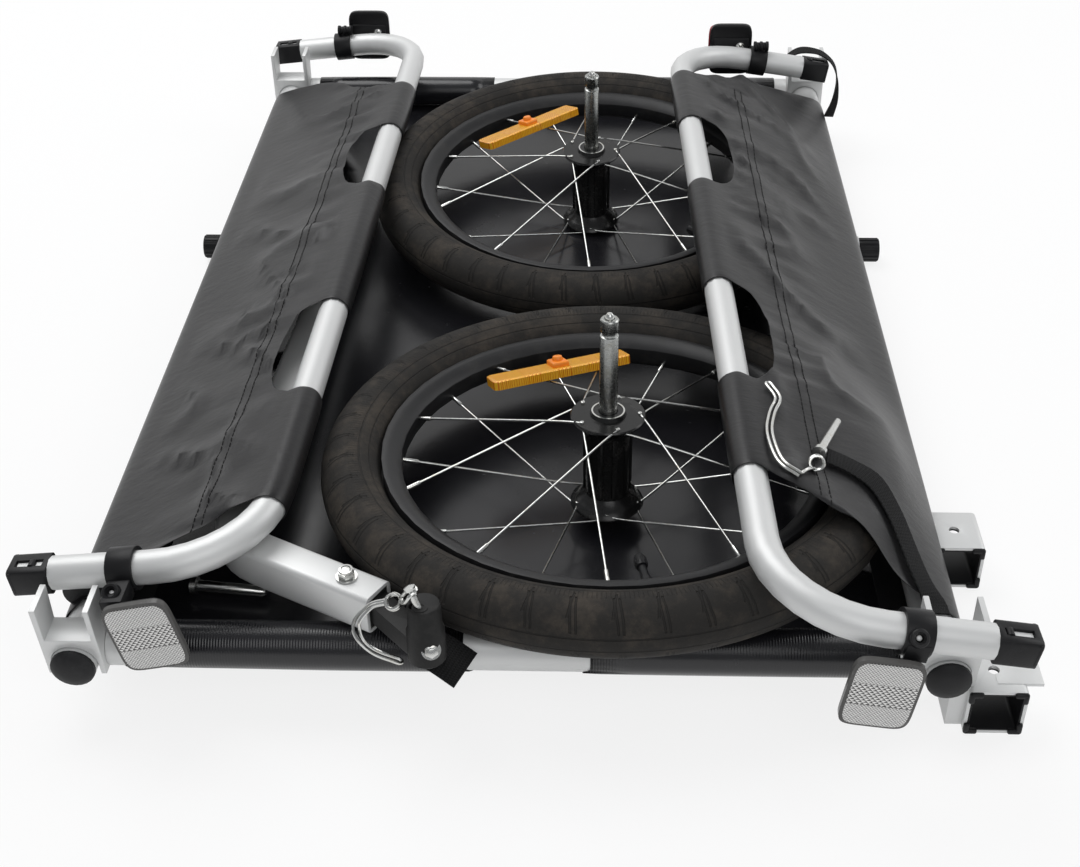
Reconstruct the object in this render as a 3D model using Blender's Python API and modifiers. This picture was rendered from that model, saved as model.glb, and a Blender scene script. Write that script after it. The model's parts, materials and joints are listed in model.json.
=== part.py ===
"""Flatbed bike trailer, folded flat with both wheels stowed on its bed.

Metres, Z up. X runs across the bed to the side called right here, Y runs from the front of the bed to its
rear, and Z is zero at the ground. Every piece is a closed solid under an empty that stands for the body it
moves with, and the empty lies on the axis of that body's joint. Sizes of the bed are counted from the middle
of its rails, which lies a little left of the part's own middle, because the receivers reach out on the right.
"""

import math

import bmesh
import bpy
from mathutils import Matrix, Vector

# Bed
BED_LENGTH = 0.878
RAIL_SPACING = 0.544
RAIL_RADIUS = 0.0143
AXIS_HEIGHT = 0.0475
BED_SHIFT = -0.006
GAP = 0.0003
BRACKET_LENGTH = 0.0255
BRACKET_LEAD = 0.002
BRACKET_TOP = 0.048
BRACKET_WALL = 0.004
BRACKET_FOOT = 0.0105
CROSS_TUBE_INSET = 0.0223
REAR_TUBE_INSET = 0.0050
CLOTH = 0.0012
SLEEVE_RADIUS = 0.0159
SLEEVE_STEPS = 10
FLOOR_SAG = 0.0064
FLOOR_EDGE = 0.0078
FRONT_BARE = (-0.018, 0.043)
REAR_BARE = (-0.048, -0.010)

# Axle tube and tow bar receivers
AXLE_RADIUS = 0.0125
AXLE_POSITION = 0.157
AXLE_OVERHANG = 0.026
AXLE_END_LENGTH = 0.019
RECEIVER_SIZE = (0.0375, 0.039, 0.036)
RECEIVER_WALL = 0.0022
RECEIVER_CORNER = 0.0035
LINING_WALL = 0.001
RECEIVER_FRONT = 0.0205
PIN_HOLE_RADIUS = 0.0036
RECEIVER_PITCH = 0.1375

# Side hoops
HOOP_RADIUS = 0.0111
LEG_SPACING = 0.858
HOOP_BEND = 0.0666
HOOP_REACH = 0.130
RUN_SLEEVE_RADIUS = 0.0127
FITTING_LENGTH = 0.0255
FOLD_CLEARANCE = 0.0130
FITTING_WIDTH = 0.020
FITTING_HEIGHT = 0.020
FITTING_CORNER = 0.0026
REFLECTOR_SIZE = (0.043, 0.008, 0.053)

# Wheels
WHEEL_RADIUS = 0.200
TYRE_SECTION = 0.021
RIM_DEPTH = 0.0137
RIM_HALF_WIDTH = 0.012
HUB_HALF_LENGTH = 0.040
FLANGE_HALF_SPACING = 0.036
FLANGE_RADIUS = 0.030
HUB_RADIUS = 0.0165
WHEEL_AXLE_RADIUS = 0.0063
WHEEL_AXLE_RISE = 0.076
SPOKE_COUNT = 20
SPOKE_RADIUS = 0.001
NEAR_WHEEL = (0.0624, 0.182, 0.0305)
WHEEL_PITCH = 0.4345
FAR_WHEEL_X = 0.0483
FAR_WHEEL_Z = 0.0207
NEAR_TILT = -2.9
FAR_TILT = 4.2

# Tow bar
BAR_WIDTH = 0.0254
BAR_HEIGHT = 0.0286
BAR_MOUTH_WALL = 0.003
BAR_SLOPE = 0.0593

LEFT, RIGHT = -1, 1
NEUTRAL = Matrix()


def from_front(distance):
    """Y of a point this far behind the front end of the rails."""
    return distance - BED_LENGTH / 2


def from_rear(distance):
    """Y of a point this far ahead of the rear end of the rails."""
    return BED_LENGTH / 2 - distance


def clear_scene():
    for obj in list(bpy.data.objects):
        bpy.data.objects.remove(obj, do_unlink=True)


def new_collection(name):
    collection = bpy.data.collections.new(name)
    bpy.context.scene.collection.children.link(collection)
    return collection


clear_scene()
PARTS = new_collection("flatbed_bike_trailer")
HELPERS = new_collection("cutters")
HELPERS.hide_render = True


def material(name, colour, metallic=0.0, roughness=0.5):
    made = bpy.data.materials.new(name)
    made.use_nodes = True
    shader = made.node_tree.nodes["Principled BSDF"]
    shader.inputs["Base Color"].default_value = (*colour, 1.0)
    shader.inputs["Metallic"].default_value = metallic
    shader.inputs["Roughness"].default_value = roughness
    made.diffuse_color = (*colour, 1.0)
    return made


ALUMINIUM = material("anodised_aluminium", (0.66, 0.67, 0.68), 0.9, 0.35)
STEEL = material("plated_steel", (0.72, 0.72, 0.70), 1.0, 0.25)
PLASTIC = material("black_plastic", (0.03, 0.03, 0.032), 0.0, 0.45)
RUBBER = material("tyre_rubber", (0.045, 0.042, 0.04), 0.0, 0.7)
FLOOR_CLOTH = material("coated_floor_cloth", (0.015, 0.015, 0.016), 0.0, 0.3)
PANEL_CLOTH = material("coated_panel_cloth", (0.06, 0.06, 0.062), 0.0, 0.5)
WEBBING = material("black_webbing", (0.02, 0.02, 0.02), 0.0, 0.8)
CLEAR_LENS = material("clear_reflector", (0.8, 0.8, 0.8), 0.2, 0.25)
RED_LENS = material("red_reflector", (0.5, 0.01, 0.01), 0.0, 0.3)
AMBER_LENS = material("amber_reflector", (0.9, 0.36, 0.02), 0.0, 0.3)
BLACK_METAL = material("black_anodised_metal", (0.02, 0.02, 0.021), 0.6, 0.4)


def mesh_object(name, mesh, collection):
    obj = bpy.data.objects.new(name, mesh)
    collection.objects.link(obj)
    return obj


def from_bmesh(name, bm, collection=PARTS):
    bmesh.ops.recalc_face_normals(bm, faces=bm.faces)
    mesh = bpy.data.meshes.new(name)
    bm.to_mesh(mesh)
    bm.free()
    return mesh_object(name, mesh, collection)


def helper(obj):
    """Takes a cutter, or a lump that a Boolean joins on, out of the parts."""
    for owner in list(obj.users_collection):
        owner.objects.unlink(obj)
    HELPERS.objects.link(obj)
    obj.hide_render = True
    obj.display_type = "WIRE"
    return obj


def boolean(obj, other, operation):
    helper(other)
    modifier = obj.modifiers.new(other.name, "BOOLEAN")
    modifier.object = other
    modifier.operation = operation
    modifier.solver = "EXACT"
    return obj


def cut(obj, other):
    return boolean(obj, other, "DIFFERENCE")


def join(obj, other):
    return boolean(obj, other, "UNION")


def carry(obj, parent, matrix):
    """Parents an object, and every object that its Booleans use, to a body."""
    obj.parent = parent
    obj.matrix_basis = matrix @ obj.matrix_basis
    for modifier in obj.modifiers:
        if modifier.type == "BOOLEAN":
            carry(modifier.object, parent, matrix)


def finish(obj, parent, finish_material, matrix=NEUTRAL, smooth=False):
    """Parents a piece to its body and gives it its material."""
    carry(obj, parent, matrix)
    obj.data.materials.append(finish_material)
    if smooth:
        obj.data.shade_smooth()
    return obj


def body(name, parent, location=(0, 0, 0), rotation=NEUTRAL):
    empty = bpy.data.objects.new(name, None)
    PARTS.objects.link(empty)
    empty.empty_display_size = 0.03
    empty.parent = parent
    empty.matrix_basis = Matrix.Translation(location) @ rotation
    return empty


def box(name, size, centre=(0, 0, 0), rotation=NEUTRAL):
    bm = bmesh.new()
    scale = Matrix.Diagonal((*size, 1.0))
    bmesh.ops.create_cube(bm, size=1.0, matrix=Matrix.Translation(centre) @ rotation @ scale)
    return from_bmesh(name, bm)


def rod(name, start, end, radius, sides=24):
    start = Vector(start)
    axis = Vector(end) - start
    turn = axis.to_track_quat("Z", "Y").to_matrix().to_4x4()
    place = Matrix.Translation(start + axis / 2) @ turn
    bm = bmesh.new()
    bmesh.ops.create_cone(
        bm, cap_ends=True, segments=sides, radius1=radius, radius2=radius, depth=axis.length, matrix=place
    )
    return from_bmesh(name, bm)


def lathe(name, profile, sides=32, closed=False):
    """Turns a profile of (radius, height) points round Z. It runs down the outer side, top to bottom."""
    bm = bmesh.new()
    points = [bm.verts.new((r, 0, z)) for r, z in profile]
    for a, b in zip(points, points[1:]):
        bm.edges.new((a, b))
    if closed:
        bm.edges.new((points[-1], points[0]))
    mesh = bpy.data.meshes.new(name)
    bm.to_mesh(mesh)
    bm.free()
    obj = mesh_object(name, mesh, PARTS)
    screw = obj.modifiers.new("turn", "SCREW")
    screw.axis = "Z"
    screw.steps = sides
    screw.render_steps = sides
    screw.use_merge_vertices = True
    screw.merge_threshold = 0.00001
    return obj


def prism(name, outline, depth, plane="XZ"):
    """A closed outline in one plane, extruded both ways along that plane's normal."""
    place = {
        "XZ": lambda a, b, h: (a, h, b),
        "YZ": lambda a, b, h: (h, a, b),
        "XY": lambda a, b, h: (a, b, h),
    }[plane]
    bm = bmesh.new()
    face = bm.faces.new([bm.verts.new(place(a, b, -depth / 2)) for a, b in outline])
    made = bmesh.ops.extrude_face_region(bm, geom=[face])
    moved = [v for v in made["geom"] if isinstance(v, bmesh.types.BMVert)]
    bmesh.ops.translate(bm, verts=moved, vec=Vector(place(0, 0, depth)))
    return from_bmesh(name, bm)


def loft(name, rings, cyclic=False):
    """Skins a row of equal rings of points into one closed solid."""
    bm = bmesh.new()
    rows = [[bm.verts.new(point) for point in ring] for ring in rings]
    count = len(rows[0])
    pairs = list(zip(rows, rows[1:]))
    if cyclic:
        pairs.append((rows[-1], rows[0]))
    for a, b in pairs:
        for i in range(count):
            j = (i + 1) % count
            bm.faces.new((a[i], a[j], b[j], b[i]))
    if not cyclic:
        bm.faces.new(rows[0][::-1])
        bm.faces.new(rows[-1])
    return from_bmesh(name, bm)


def tube(name, points, radius, resolution=4, cyclic=False):
    """A round bar along a line of points."""
    curve = bpy.data.curves.new(name, "CURVE")
    curve.dimensions = "3D"
    curve.bevel_depth = radius
    curve.bevel_resolution = resolution
    curve.use_fill_caps = not cyclic
    spline = curve.splines.new("POLY")
    spline.points.add(len(points) - 1)
    for point, place in zip(spline.points, points):
        point.co = (*place, 1.0)
    spline.use_cyclic_u = cyclic
    source = mesh_object(name + "_line", curve, PARTS)
    bpy.context.view_layer.update()
    mesh = bpy.data.meshes.new_from_object(source.evaluated_get(bpy.context.evaluated_depsgraph_get()))
    bpy.data.objects.remove(source, do_unlink=True)
    bm = bmesh.new()
    bm.from_mesh(mesh)
    bmesh.ops.remove_doubles(bm, verts=bm.verts, dist=0.00001)
    return from_bmesh(name, bm)


def smooth_line(knots, per_span=6):
    """Points of a smooth curve through the knots."""
    knots = [Vector(k) for k in knots]
    ends = [2 * knots[0] - knots[1]] + knots + [2 * knots[-1] - knots[-2]]
    line = []
    for a, b, c, d in zip(ends, ends[1:], ends[2:], ends[3:]):
        for i in range(per_span):
            t = i / per_span
            bend = (2 * a - 5 * b + 4 * c - d) * t**2
            line.append(0.5 * (2 * b + (c - a) * t + bend + (3 * b - a - 3 * c + d) * t**3))
    return line + [knots[-1]]


def ribbon(name, line, normals, width, thickness):
    """A flat strap along a line, with its face towards the normal at each point."""
    rings = []
    for i, point in enumerate(line):
        along = (line[min(i + 1, len(line) - 1)] - line[max(i - 1, 0)]).normalized()
        side = along.cross(normals[i]).normalized() * width / 2
        lift = side.cross(along).normalized() * thickness / 2
        rings.append([point + side + lift, point - side + lift, point - side - lift, point + side - lift])
    return loft(name, rings)


def rounded_outline(width, height, radius, steps=3):
    outline = []
    for corner, (cx, cy) in enumerate(((1, 1), (-1, 1), (-1, -1), (1, -1))):
        for i in range(steps + 1):
            angle = math.pi / 2 * (corner + i / steps)
            x = cx * (width / 2 - radius) + radius * math.cos(angle)
            y = cy * (height / 2 - radius) + radius * math.sin(angle)
            outline.append((x, y))
    return outline


# Each collar: end, distance out along the leg, where its lug sits from the ring's middle (X and Z) and how far
# it reaches along Y, the reflector's centre from the leg's axis, and its turn about Y.
REFLECTORS = {
    "left": (
        ("front", 0.083, (0.0, -0.004), -0.0337, (0.0192, -0.0380, -0.0194), -12.0),
        ("rear", 0.083, (0.008, 0.004), 0.0142, (0.0256, 0.0185, 0.0060), 0.0),
    ),
    "right": (
        ("front", 0.083, (0.0, -0.004), -0.0142, (-0.0185, -0.0190, -0.0293), 8.0),
        ("rear", 0.083, (-0.008, 0.004), 0.0142, (-0.0262, 0.0185, 0.0062), 0.0),
    ),
}


# Side frames

def hoop_matrix(side):
    """Where a side hoop lies: its run along Y, its legs towards the rail."""
    if side == LEFT:
        centre, toe, pitch, tilt = (-0.1462, from_front(0.4635), 0.0558), -1.461, -0.50, -6.62
    else:
        centre, toe, pitch, tilt = (0.146, from_front(0.4019), 0.0708), 1.50, -0.70, 9.19
    return (
        Matrix.Translation(centre)
        @ Matrix.Rotation(math.radians(toe), 4, "Z")
        @ Matrix.Rotation(math.radians(pitch), 4, "X")
        @ Matrix.Rotation(math.radians(tilt), 4, "Y")
    )


def fold_pivot(side):
    """The point that the folded leg turns about to stand upright on its rail."""
    place = hoop_matrix(side)
    tip = place @ Vector((side * HOOP_REACH, 0, 0))
    run = place @ Vector((0, 0, 0))
    inward = -side
    folded = math.atan2(run.z - tip.z, (run.x - tip.x) * inward)
    turn = math.pi / 2 - folded
    stands = Vector((side * RAIL_SPACING / 2, RAIL_RADIUS + FOLD_CLEARANCE + FITTING_LENGTH))
    away = Vector((tip.x * inward, tip.z))
    home = Vector((stands.x * inward, stands.y))
    c, s = math.cos(turn), math.sin(turn)
    swung = Vector((c * away.x - s * away.y, s * away.x + c * away.y))
    rest = home - swung
    det = (1 - c) ** 2 + s**2
    u = ((1 - c) * rest.x - s * rest.y) / det
    w = (s * rest.x + (1 - c) * rest.y) / det
    return Vector((u * inward, 0, w)), turn


def hoop_line(side):
    half = LEG_SPACING / 2
    corner = []
    for i in range(9):
        angle = math.pi / 2 * i / 8
        corner.append((HOOP_BEND * (1 - math.sin(angle)), half - HOOP_BEND * (1 - math.cos(angle))))
    line = [(HOOP_REACH, half)] + corner
    line += [(x, -y) for x, y in line[::-1]]
    return [Vector((side * x, y, 0)) for x, y in line]


def end_fitting(name, side):
    """A slotted plug on the end of a leg, open underneath, that drops on to a corner bracket."""
    length, height, width = FITTING_LENGTH, FITTING_HEIGHT, FITTING_WIDTH
    fitting = prism(name, rounded_outline(width, height, FITTING_CORNER, 2), length, "YZ")
    channel = box(name + "_channel", (length, width - 0.006, height), (side * length * 0.3, 0, -0.5 * height))
    slot = box(name + "_slot", (length * 0.7, 0.006, 0.016), (0, -0.001, height / 2))
    return cut(cut(fitting, channel), slot)


def clamp(name, at, lug, reach):
    """A ring round the leg (which runs along X) with a lug towards the reflector."""
    profile = [(-0.0085, 0.0114), (-0.0085, 0.0141), (0.0085, 0.0141), (0.0085, 0.0114)]
    rings = []
    for i in range(24):
        angle = math.tau * i / 24
        around = Vector((0, math.sin(angle), math.cos(angle)))
        rings.append([at + Vector((x, 0, 0)) + around * r for x, r in profile])
    ring = loft(name, rings, cyclic=True)
    start = math.copysign(0.0125, reach)
    length = abs(reach) - 0.0125
    centre = (at.x + lug[0], at.y + start + math.copysign(length / 2, reach), at.z + lug[1])
    return join(ring, box(name + "_lug", (0.014, length, 0.012), centre))


def reflector(name, parent, lens, centre, turn):
    width, depth, height = REFLECTOR_SIZE
    outline = rounded_outline(width, height, 0.006)
    plate = prism(name, outline, depth)
    place = Matrix.Translation(centre) @ Matrix.Rotation(math.radians(turn), 4, "Y")
    return finish(plate, parent, lens, place)


def side_frame(bed, side, label):
    pivot, _ = fold_pivot(side)
    frame = body("side_frame_" + label, bed, pivot)
    home = Matrix.Translation(-pivot)
    place = home @ hoop_matrix(side)
    hoop = tube("hoop_" + label, hoop_line(side), HOOP_RADIUS, 4)
    finish(hoop, frame, ALUMINIUM, place, smooth=True)
    half = LEG_SPACING / 2
    for end, y in (("front", -half), ("rear", half)):
        fitting = end_fitting("end_fitting_%s_%s" % (end, label), side)
        at = Matrix.Translation((side * (HOOP_REACH + GAP + FITTING_LENGTH / 2), y, 0))
        finish(fitting, frame, PLASTIC, place @ at)
    for end, clamp_at, lug, reach, centre, turn in REFLECTORS[label]:
        leg = Vector((side * clamp_at, -half if end == "front" else half, 0))
        on_leg = hoop_matrix(side) @ leg
        made = clamp("collar_%s_%s" % (end, label), on_leg, lug, reach)
        tilt = hoop_matrix(side).to_3x3().to_4x4()
        spin = Matrix.Translation(on_leg) @ tilt @ Matrix.Translation(-on_leg)
        finish(made, frame, PLASTIC, home @ spin)
        lens = CLEAR_LENS if end == "front" else RED_LENS
        spot = on_leg + Vector(centre)
        reflector("reflector_%s_%s" % (end, label), frame, lens, home @ spot, turn)
    return frame


# Bed

def corner_bracket(name, bed, side, end):
    """Two ears that straddle the rail, tied by a saddle over it."""
    inner, outer = RAIL_RADIUS + GAP, RAIL_RADIUS + BRACKET_WALL
    saddle = 0.0205
    half = [(outer, -BRACKET_FOOT), (outer, BRACKET_TOP), (inner, BRACKET_TOP), (inner, saddle)]
    under = [(inner * math.sin(a), inner * math.cos(a)) for a in (math.radians(d) for d in range(0, 91, 15))]
    outline = half + [(-x, z) for x, z in half[::-1]] + [(-inner, -BRACKET_FOOT)]
    outline += [(-x, z) for x, z in under[::-1]] + under[1:] + [(inner, -BRACKET_FOOT)]
    length = BRACKET_LENGTH
    rail_end = from_front(0) if end < 0 else from_rear(0)
    centre = rail_end - end * (length / 2 - BRACKET_LEAD)
    bracket = prism(name, outline, length)
    slope = [(-0.5 * length, BRACKET_TOP + 0.001), (-0.5 * length + 0.007, -0.013)]
    slope += [(-length, -0.013), (-length, 0.06)]
    wedge = prism(name + "_slope", [(-end * y, z) for y, z in slope], 0.06, "YZ")
    cut(bracket, wedge)
    return finish(bracket, bed, ALUMINIUM, Matrix.Translation((side * RAIL_SPACING / 2, centre, 0)))


def rail_cap(name, bed, side, end):
    rail_end = from_front(0) if end < 0 else from_rear(0)
    profile = [(0, 0.0062), (0.006, 0.0058), (0.011, 0.0045), (0.0140, 0.002), (0.0143, 0), (0, 0)]
    cap = lathe(name, profile, 24)
    turn = Matrix.Rotation(math.pi / 2 if end < 0 else -math.pi / 2, 4, "X")
    place = Matrix.Translation((side * RAIL_SPACING / 2, rail_end + end * GAP, 0)) @ turn
    return finish(cap, bed, PLASTIC, place, smooth=True)


def cross_tube_at(end):
    """Y of the front (-1) or the rear (1) cross tube, which sits near the rear ends of its brackets."""
    return from_front(CROSS_TUBE_INSET) if end < 0 else from_rear(REAR_TUBE_INSET)


def floor_height(y):
    """Height of the floor cloth's middle surface, which hangs a little between the cross tubes."""
    front, rear = cross_tube_at(-1), cross_tube_at(1)
    along = (y - front) / (rear - front)
    return -SLEEVE_RADIUS - FLOOR_SAG * max(0.0, 4 * along * (1 - along))


def cloth(name, sections, kept):
    """A sheet through a row of equal sections, thickened both ways; kept says which squares are there."""
    bm = bmesh.new()
    grid = [[bm.verts.new(point) for point in section] for section in sections]
    for i in range(len(sections) - 1):
        for j in range(len(sections[0]) - 1):
            if kept(i, j):
                bm.faces.new((grid[i][j], grid[i][j + 1], grid[i + 1][j + 1], grid[i + 1][j]))
    bmesh.ops.delete(bm, geom=[v for v in bm.verts if not v.link_faces], context="VERTS")
    sheet = from_bmesh(name, bm)
    thick = sheet.modifiers.new("thickness", "SOLIDIFY")
    thick.thickness = CLOTH
    thick.offset = 0.0
    thick.use_even_offset = False
    return sheet


def stations(marks, longest):
    """The marks with even steps between them, none over the longest."""
    marks = sorted(set(marks))
    rows = []
    for a, b in zip(marks, marks[1:]):
        steps = max(1, math.ceil((b - a) / longest - 1e-6))
        rows += [a + (b - a) * i / steps for i in range(steps)]
    return rows + [marks[-1]]


def floor_sheet(bed):
    """The floor cloth with the sleeves that hold it on the cross tubes."""
    half_x = RAIL_SPACING / 2 - FLOOR_EDGE
    front, rear = cross_tube_at(-1), cross_tube_at(1)
    reach = RAIL_SPACING / 2 - RAIL_RADIUS - BRACKET_WALL - 0.002
    front_loop = arc((front, 0.0), SLEEVE_RADIUS, -40, 270, SLEEVE_STEPS)
    rear_loop = arc((rear, 0.0), SLEEVE_RADIUS, 270, 580, SLEEVE_STEPS)
    sheet = [front + (rear - front) * i / 14 for i in range(1, 14)]
    line = front_loop + [(y, floor_height(y)) for y in sheet] + rear_loop
    xs = stations((-half_x, -reach, *FRONT_BARE, *REAR_BARE, reach, half_x), 0.16)
    sections = [[Vector((x, y, z)) for y, z in line] for x in xs]

    def kept(i, j):
        middle = (xs[i] + xs[i + 1]) / 2
        bare = FRONT_BARE if j < SLEEVE_STEPS else REAR_BARE
        in_sheet = SLEEVE_STEPS <= j < len(line) - 1 - SLEEVE_STEPS
        return in_sheet or (abs(middle) < reach and not bare[0] < middle < bare[1])

    return finish(cloth("floor_sheet", sections, kept), bed, FLOOR_CLOTH, smooth=True)


def axle_tube(bed):
    """The cross tube that the wheels plug into in use, with a saddle up to each rail."""
    y = AXLE_POSITION
    z = AXLE_RADIUS - AXIS_HEIGHT
    half = RAIL_SPACING / 2 + AXLE_OVERHANG
    axle = rod("axle_tube", (-half, y, z), (half, y, z), AXLE_RADIUS)
    for side, label in ((LEFT, "left"), (RIGHT, "right")):
        x = side * RAIL_SPACING / 2
        saddle = box("axle_saddle_" + label, (0.014, 0.040, 0.022), (x, y, -0.0235))
        cut(saddle, rod("rail_seat_" + label, (x, y - 0.05, 0), (x, y + 0.05, 0), SLEEVE_RADIUS + CLOTH, 32))
        join(axle, saddle)
        inner, outer = (side * (half + GAP), y, z), (side * (half + AXLE_END_LENGTH), y, z)
        end = rod("axle_end_" + label, inner, outer, 0.0105, 20)
        finish(end, bed, PLASTIC)
    return finish(axle, bed, ALUMINIUM)


def square_tube(name, width, height, length, wall, corner, across, up):
    """A square tube along Y with round corners, its middle at a point of the XZ plane."""
    outer = [(across + x, up + z) for x, z in rounded_outline(width, height, corner)]
    bore = rounded_outline(width - 2 * wall, height - 2 * wall, corner - wall / 2)
    made = prism(name, outer, length)
    return cut(made, prism(name + "_bore", [(across + x, up + z) for x, z in bore], length * 2))


def receiver(name, bed, y, seat, overhang):
    """A square socket on the right rail's lower outer side, with its lining.

    seat is the rail's radius, and overhang how far the top plate stands out past the socket.
    """
    width, length, height = RECEIVER_SIZE
    wall = RECEIVER_WALL
    rail_x = RAIL_SPACING / 2
    x = rail_x + RAIL_RADIUS + 0.0005 + width / 2
    z = height / 2 - AXIS_HEIGHT
    top = -AXIS_HEIGHT + height
    place = Matrix.Translation((0, y, 0))
    housing = square_tube(name, width, height, length, wall, RECEIVER_CORNER, x, z)
    web = box(name + "_web", (0.012, length * 0.8, height - 0.004), (x - width / 2 - 0.0045, 0, z + 0.0015))
    join(housing, web)
    if overhang:
        plate_size = (width / 2 + overhang, length * 0.62, wall)
        plate_at = (x + plate_size[0] / 2, 0, top - wall / 2 + 0.0004)
        join(housing, box(name + "_plate", plate_size, plate_at))
    cut(housing, rod(name + "_seat", (rail_x, -0.05, 0), (rail_x, 0.05, 0), seat, 36))
    pin = (x, 0, top - height / 2), (x, 0, top + 0.02)
    cut(housing, rod(name + "_pin_hole", *pin, PIN_HOLE_RADIUS, 20))
    finish(housing, bed, ALUMINIUM, place)
    inner, high = width - 2 * wall - 2 * GAP, height - 2 * wall - 2 * GAP
    lining = square_tube(name + "_lining", inner, high, length, LINING_WALL, RECEIVER_CORNER - wall / 2, x, z)
    cut(lining, rod(name + "_lining_pin_hole", *pin, PIN_HOLE_RADIUS, 20))
    finish(lining, bed, PLASTIC, place)
    return housing


def run_at(side, y):
    """X and Z of the hoop's run, and of its bends as they begin, at this Y."""
    place = hoop_matrix(side)
    across, along = place.to_3x3().col[0], place.to_3x3().col[1]
    step = (y - place.translation.y) / along.y
    past = max(0.0, abs(step) - (LEG_SPACING / 2 - HOOP_BEND))
    turned = HOOP_BEND - math.sqrt(HOOP_BEND**2 - min(past, HOOP_BEND) ** 2)
    point = place.translation + along * step + across * side * turned
    return point.x, point.z


def near_wheel_centre():
    x, y, z = NEAR_WHEEL
    return Vector((x, from_front(y), z))


def far_wheel_centre():
    return Vector((FAR_WHEEL_X, from_front(NEAR_WHEEL[1] + WHEEL_PITCH), FAR_WHEEL_Z))


def tyre_bumps(side, y):
    """Points over the stowed tyres that the side cloth has to clear, as (inward distance, height)."""
    points = []
    ring = WHEEL_RADIUS - TYRE_SECTION
    clear = TYRE_SECTION + 3 * CLOTH
    for centre, tilt in ((near_wheel_centre(), NEAR_TILT), (far_wheel_centre(), FAR_TILT)):
        off = y - centre.y
        if abs(off) > ring * 0.96:
            continue
        out = math.sqrt(ring**2 - off**2)
        middle = centre.z + off * math.tan(math.radians(tilt))
        spread = clear * min(1.6, ring / out)
        for i in range(7):
            angle = math.pi * (1 - i / 7)
            inward = -(side * centre.x + out) + spread * math.cos(angle)
            points.append((inward, middle + clear * math.sin(angle)))
    return points


def cloth_section(side, y):
    """Middle line of the side cloth at this Y: round the rail, over to the hoop's run and round it."""
    run_x, run_z = run_at(side, y)
    rail = (-RAIL_SPACING / 2, 0.0)
    run = (side * -run_x, run_z)
    circles = ((rail, SLEEVE_RADIUS), (run, RUN_SLEEVE_RADIUS))
    points = []
    for label, (centre, radius) in enumerate(circles):
        for degrees in range(180, -1, -4):
            a = math.radians(degrees)
            across, up = centre[0] + radius * math.cos(a), centre[1] + radius * math.sin(a)
            points.append((across, up, label, degrees))
    points += [(u, w, 2, 0) for u, w in tyre_bumps(side, y) if rail[0] < u < run[0] - RUN_SLEEVE_RADIUS]
    points.sort()
    chain = []
    for point in points:
        while len(chain) > 1:
            (ax, az), (bx, bz) = chain[-2][:2], chain[-1][:2]
            if (bx - ax) * (point[1] - az) - (bz - az) * (point[0] - ax) < 0:
                break
            chain.pop()
        chain.append(point)
    leave = min(p[3] for p in chain if p[2] == 0)
    meet = max(p[3] for p in chain if p[2] == 1)
    section = arc(rail, SLEEVE_RADIUS, 300, leave, RAIL_COLUMNS)
    middle = [p[:2] for p in chain if p[2] == 2]
    top = arc(run, RUN_SLEEVE_RADIUS, meet, -140, LAST_COLUMN - RUN_COLUMNS)
    section += resample([section[-1]] + middle + [top[0]], RUN_COLUMNS - RAIL_COLUMNS)[1:-1]
    section += top
    return [Vector((side * -u, y, w)) for u, w in section]


def arc(centre, radius, start, end, count):
    made = []
    for i in range(count + 1):
        a = math.radians(start + (end - start) * i / count)
        made.append((centre[0] + radius * math.cos(a), centre[1] + radius * math.sin(a)))
    return made


def resample(points, count):
    lengths = [0.0]
    for a, b in zip(points, points[1:]):
        lengths.append(lengths[-1] + math.dist(a, b))
    made = []
    for i in range(count + 1):
        want = lengths[-1] * i / count
        k = max(j for j in range(len(points) - 1) if lengths[j] <= want + 1e-9)
        span = lengths[k + 1] - lengths[k]
        t = (want - lengths[k]) / span if span else 0.0
        made.append(tuple(p + (q - p) * t for p, q in zip(points[k], points[k + 1])))
    return made


RAIL_COLUMNS = 8
RUN_COLUMNS = 18
LAST_COLUMN = 26

# Each panel's edges as (column, distance behind the rails' front end), and its cut-outs over the run. Columns
# up to the eighth go round the rail, those from the eighteenth on round the run, and the sheet lies between.
PANELS = {
    "left": (
        LEFT,
        ((0, 0.036), (8, 0.036), (10, 0.052), (12, 0.060), (15, 0.068), (17, 0.080), (18, 0.084), (26, 0.084)),
        ((0, 0.846), (7, 0.840), (9, 0.836), (11, 0.818), (13, 0.797), (15, 0.771), (17, 0.751), (26, 0.751)),
        ((0.212, 0.330), (0.535, 0.650)),
    ),
    "right": (
        RIGHT,
        ((0, 0.0415), (8, 0.0415), (11, 0.052), (13, 0.076), (15, 0.080), (17, 0.094), (18, 0.104), (26, 0.104)),
        ((0, 0.825), (8, 0.825), (11, 0.806), (14, 0.784), (16, 0.766), (17, 0.750), (26, 0.746)),
        ((0.212, 0.340), (0.512, 0.636)),
    ),
}


def between(knots, at):
    """Reads a broken line, given as (position, value) knots, at a position."""
    for (a, p), (b, q) in zip(knots, knots[1:]):
        if a <= at <= b:
            return p + (q - p) * (at - a) / (b - a)
    return knots[-1][1]


def side_panel(bed, label):
    """The side cloth, sleeved on the rail and on the hoop's run, with the run bare at two cut-outs."""
    side, front_edge, rear_edge, cutouts = PANELS[label]
    front, rear = front_edge[-1][1], rear_edge[-1][1]
    rows = stations((front, front + 0.017, rear, *cutouts[0], *cutouts[1]), 0.042)
    sections = []
    for row in rows:
        along = (row - front) / (rear - front)
        section = []
        for j in range(LAST_COLUMN + 1):
            lead, tail = between(front_edge, j), between(rear_edge, j)
            section.append(cloth_section(side, from_front(lead + (tail - lead) * along))[j])
        sections.append(section)

    def kept(i, j):
        middle = (rows[i] + rows[i + 1]) / 2
        return j < RUN_COLUMNS - 1 or not any(low < middle < high for low, high in cutouts)

    panel = cloth("side_panel_" + label, sections, kept)
    return finish(panel, bed, PANEL_CLOTH, smooth=True)


# Wheels

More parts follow.
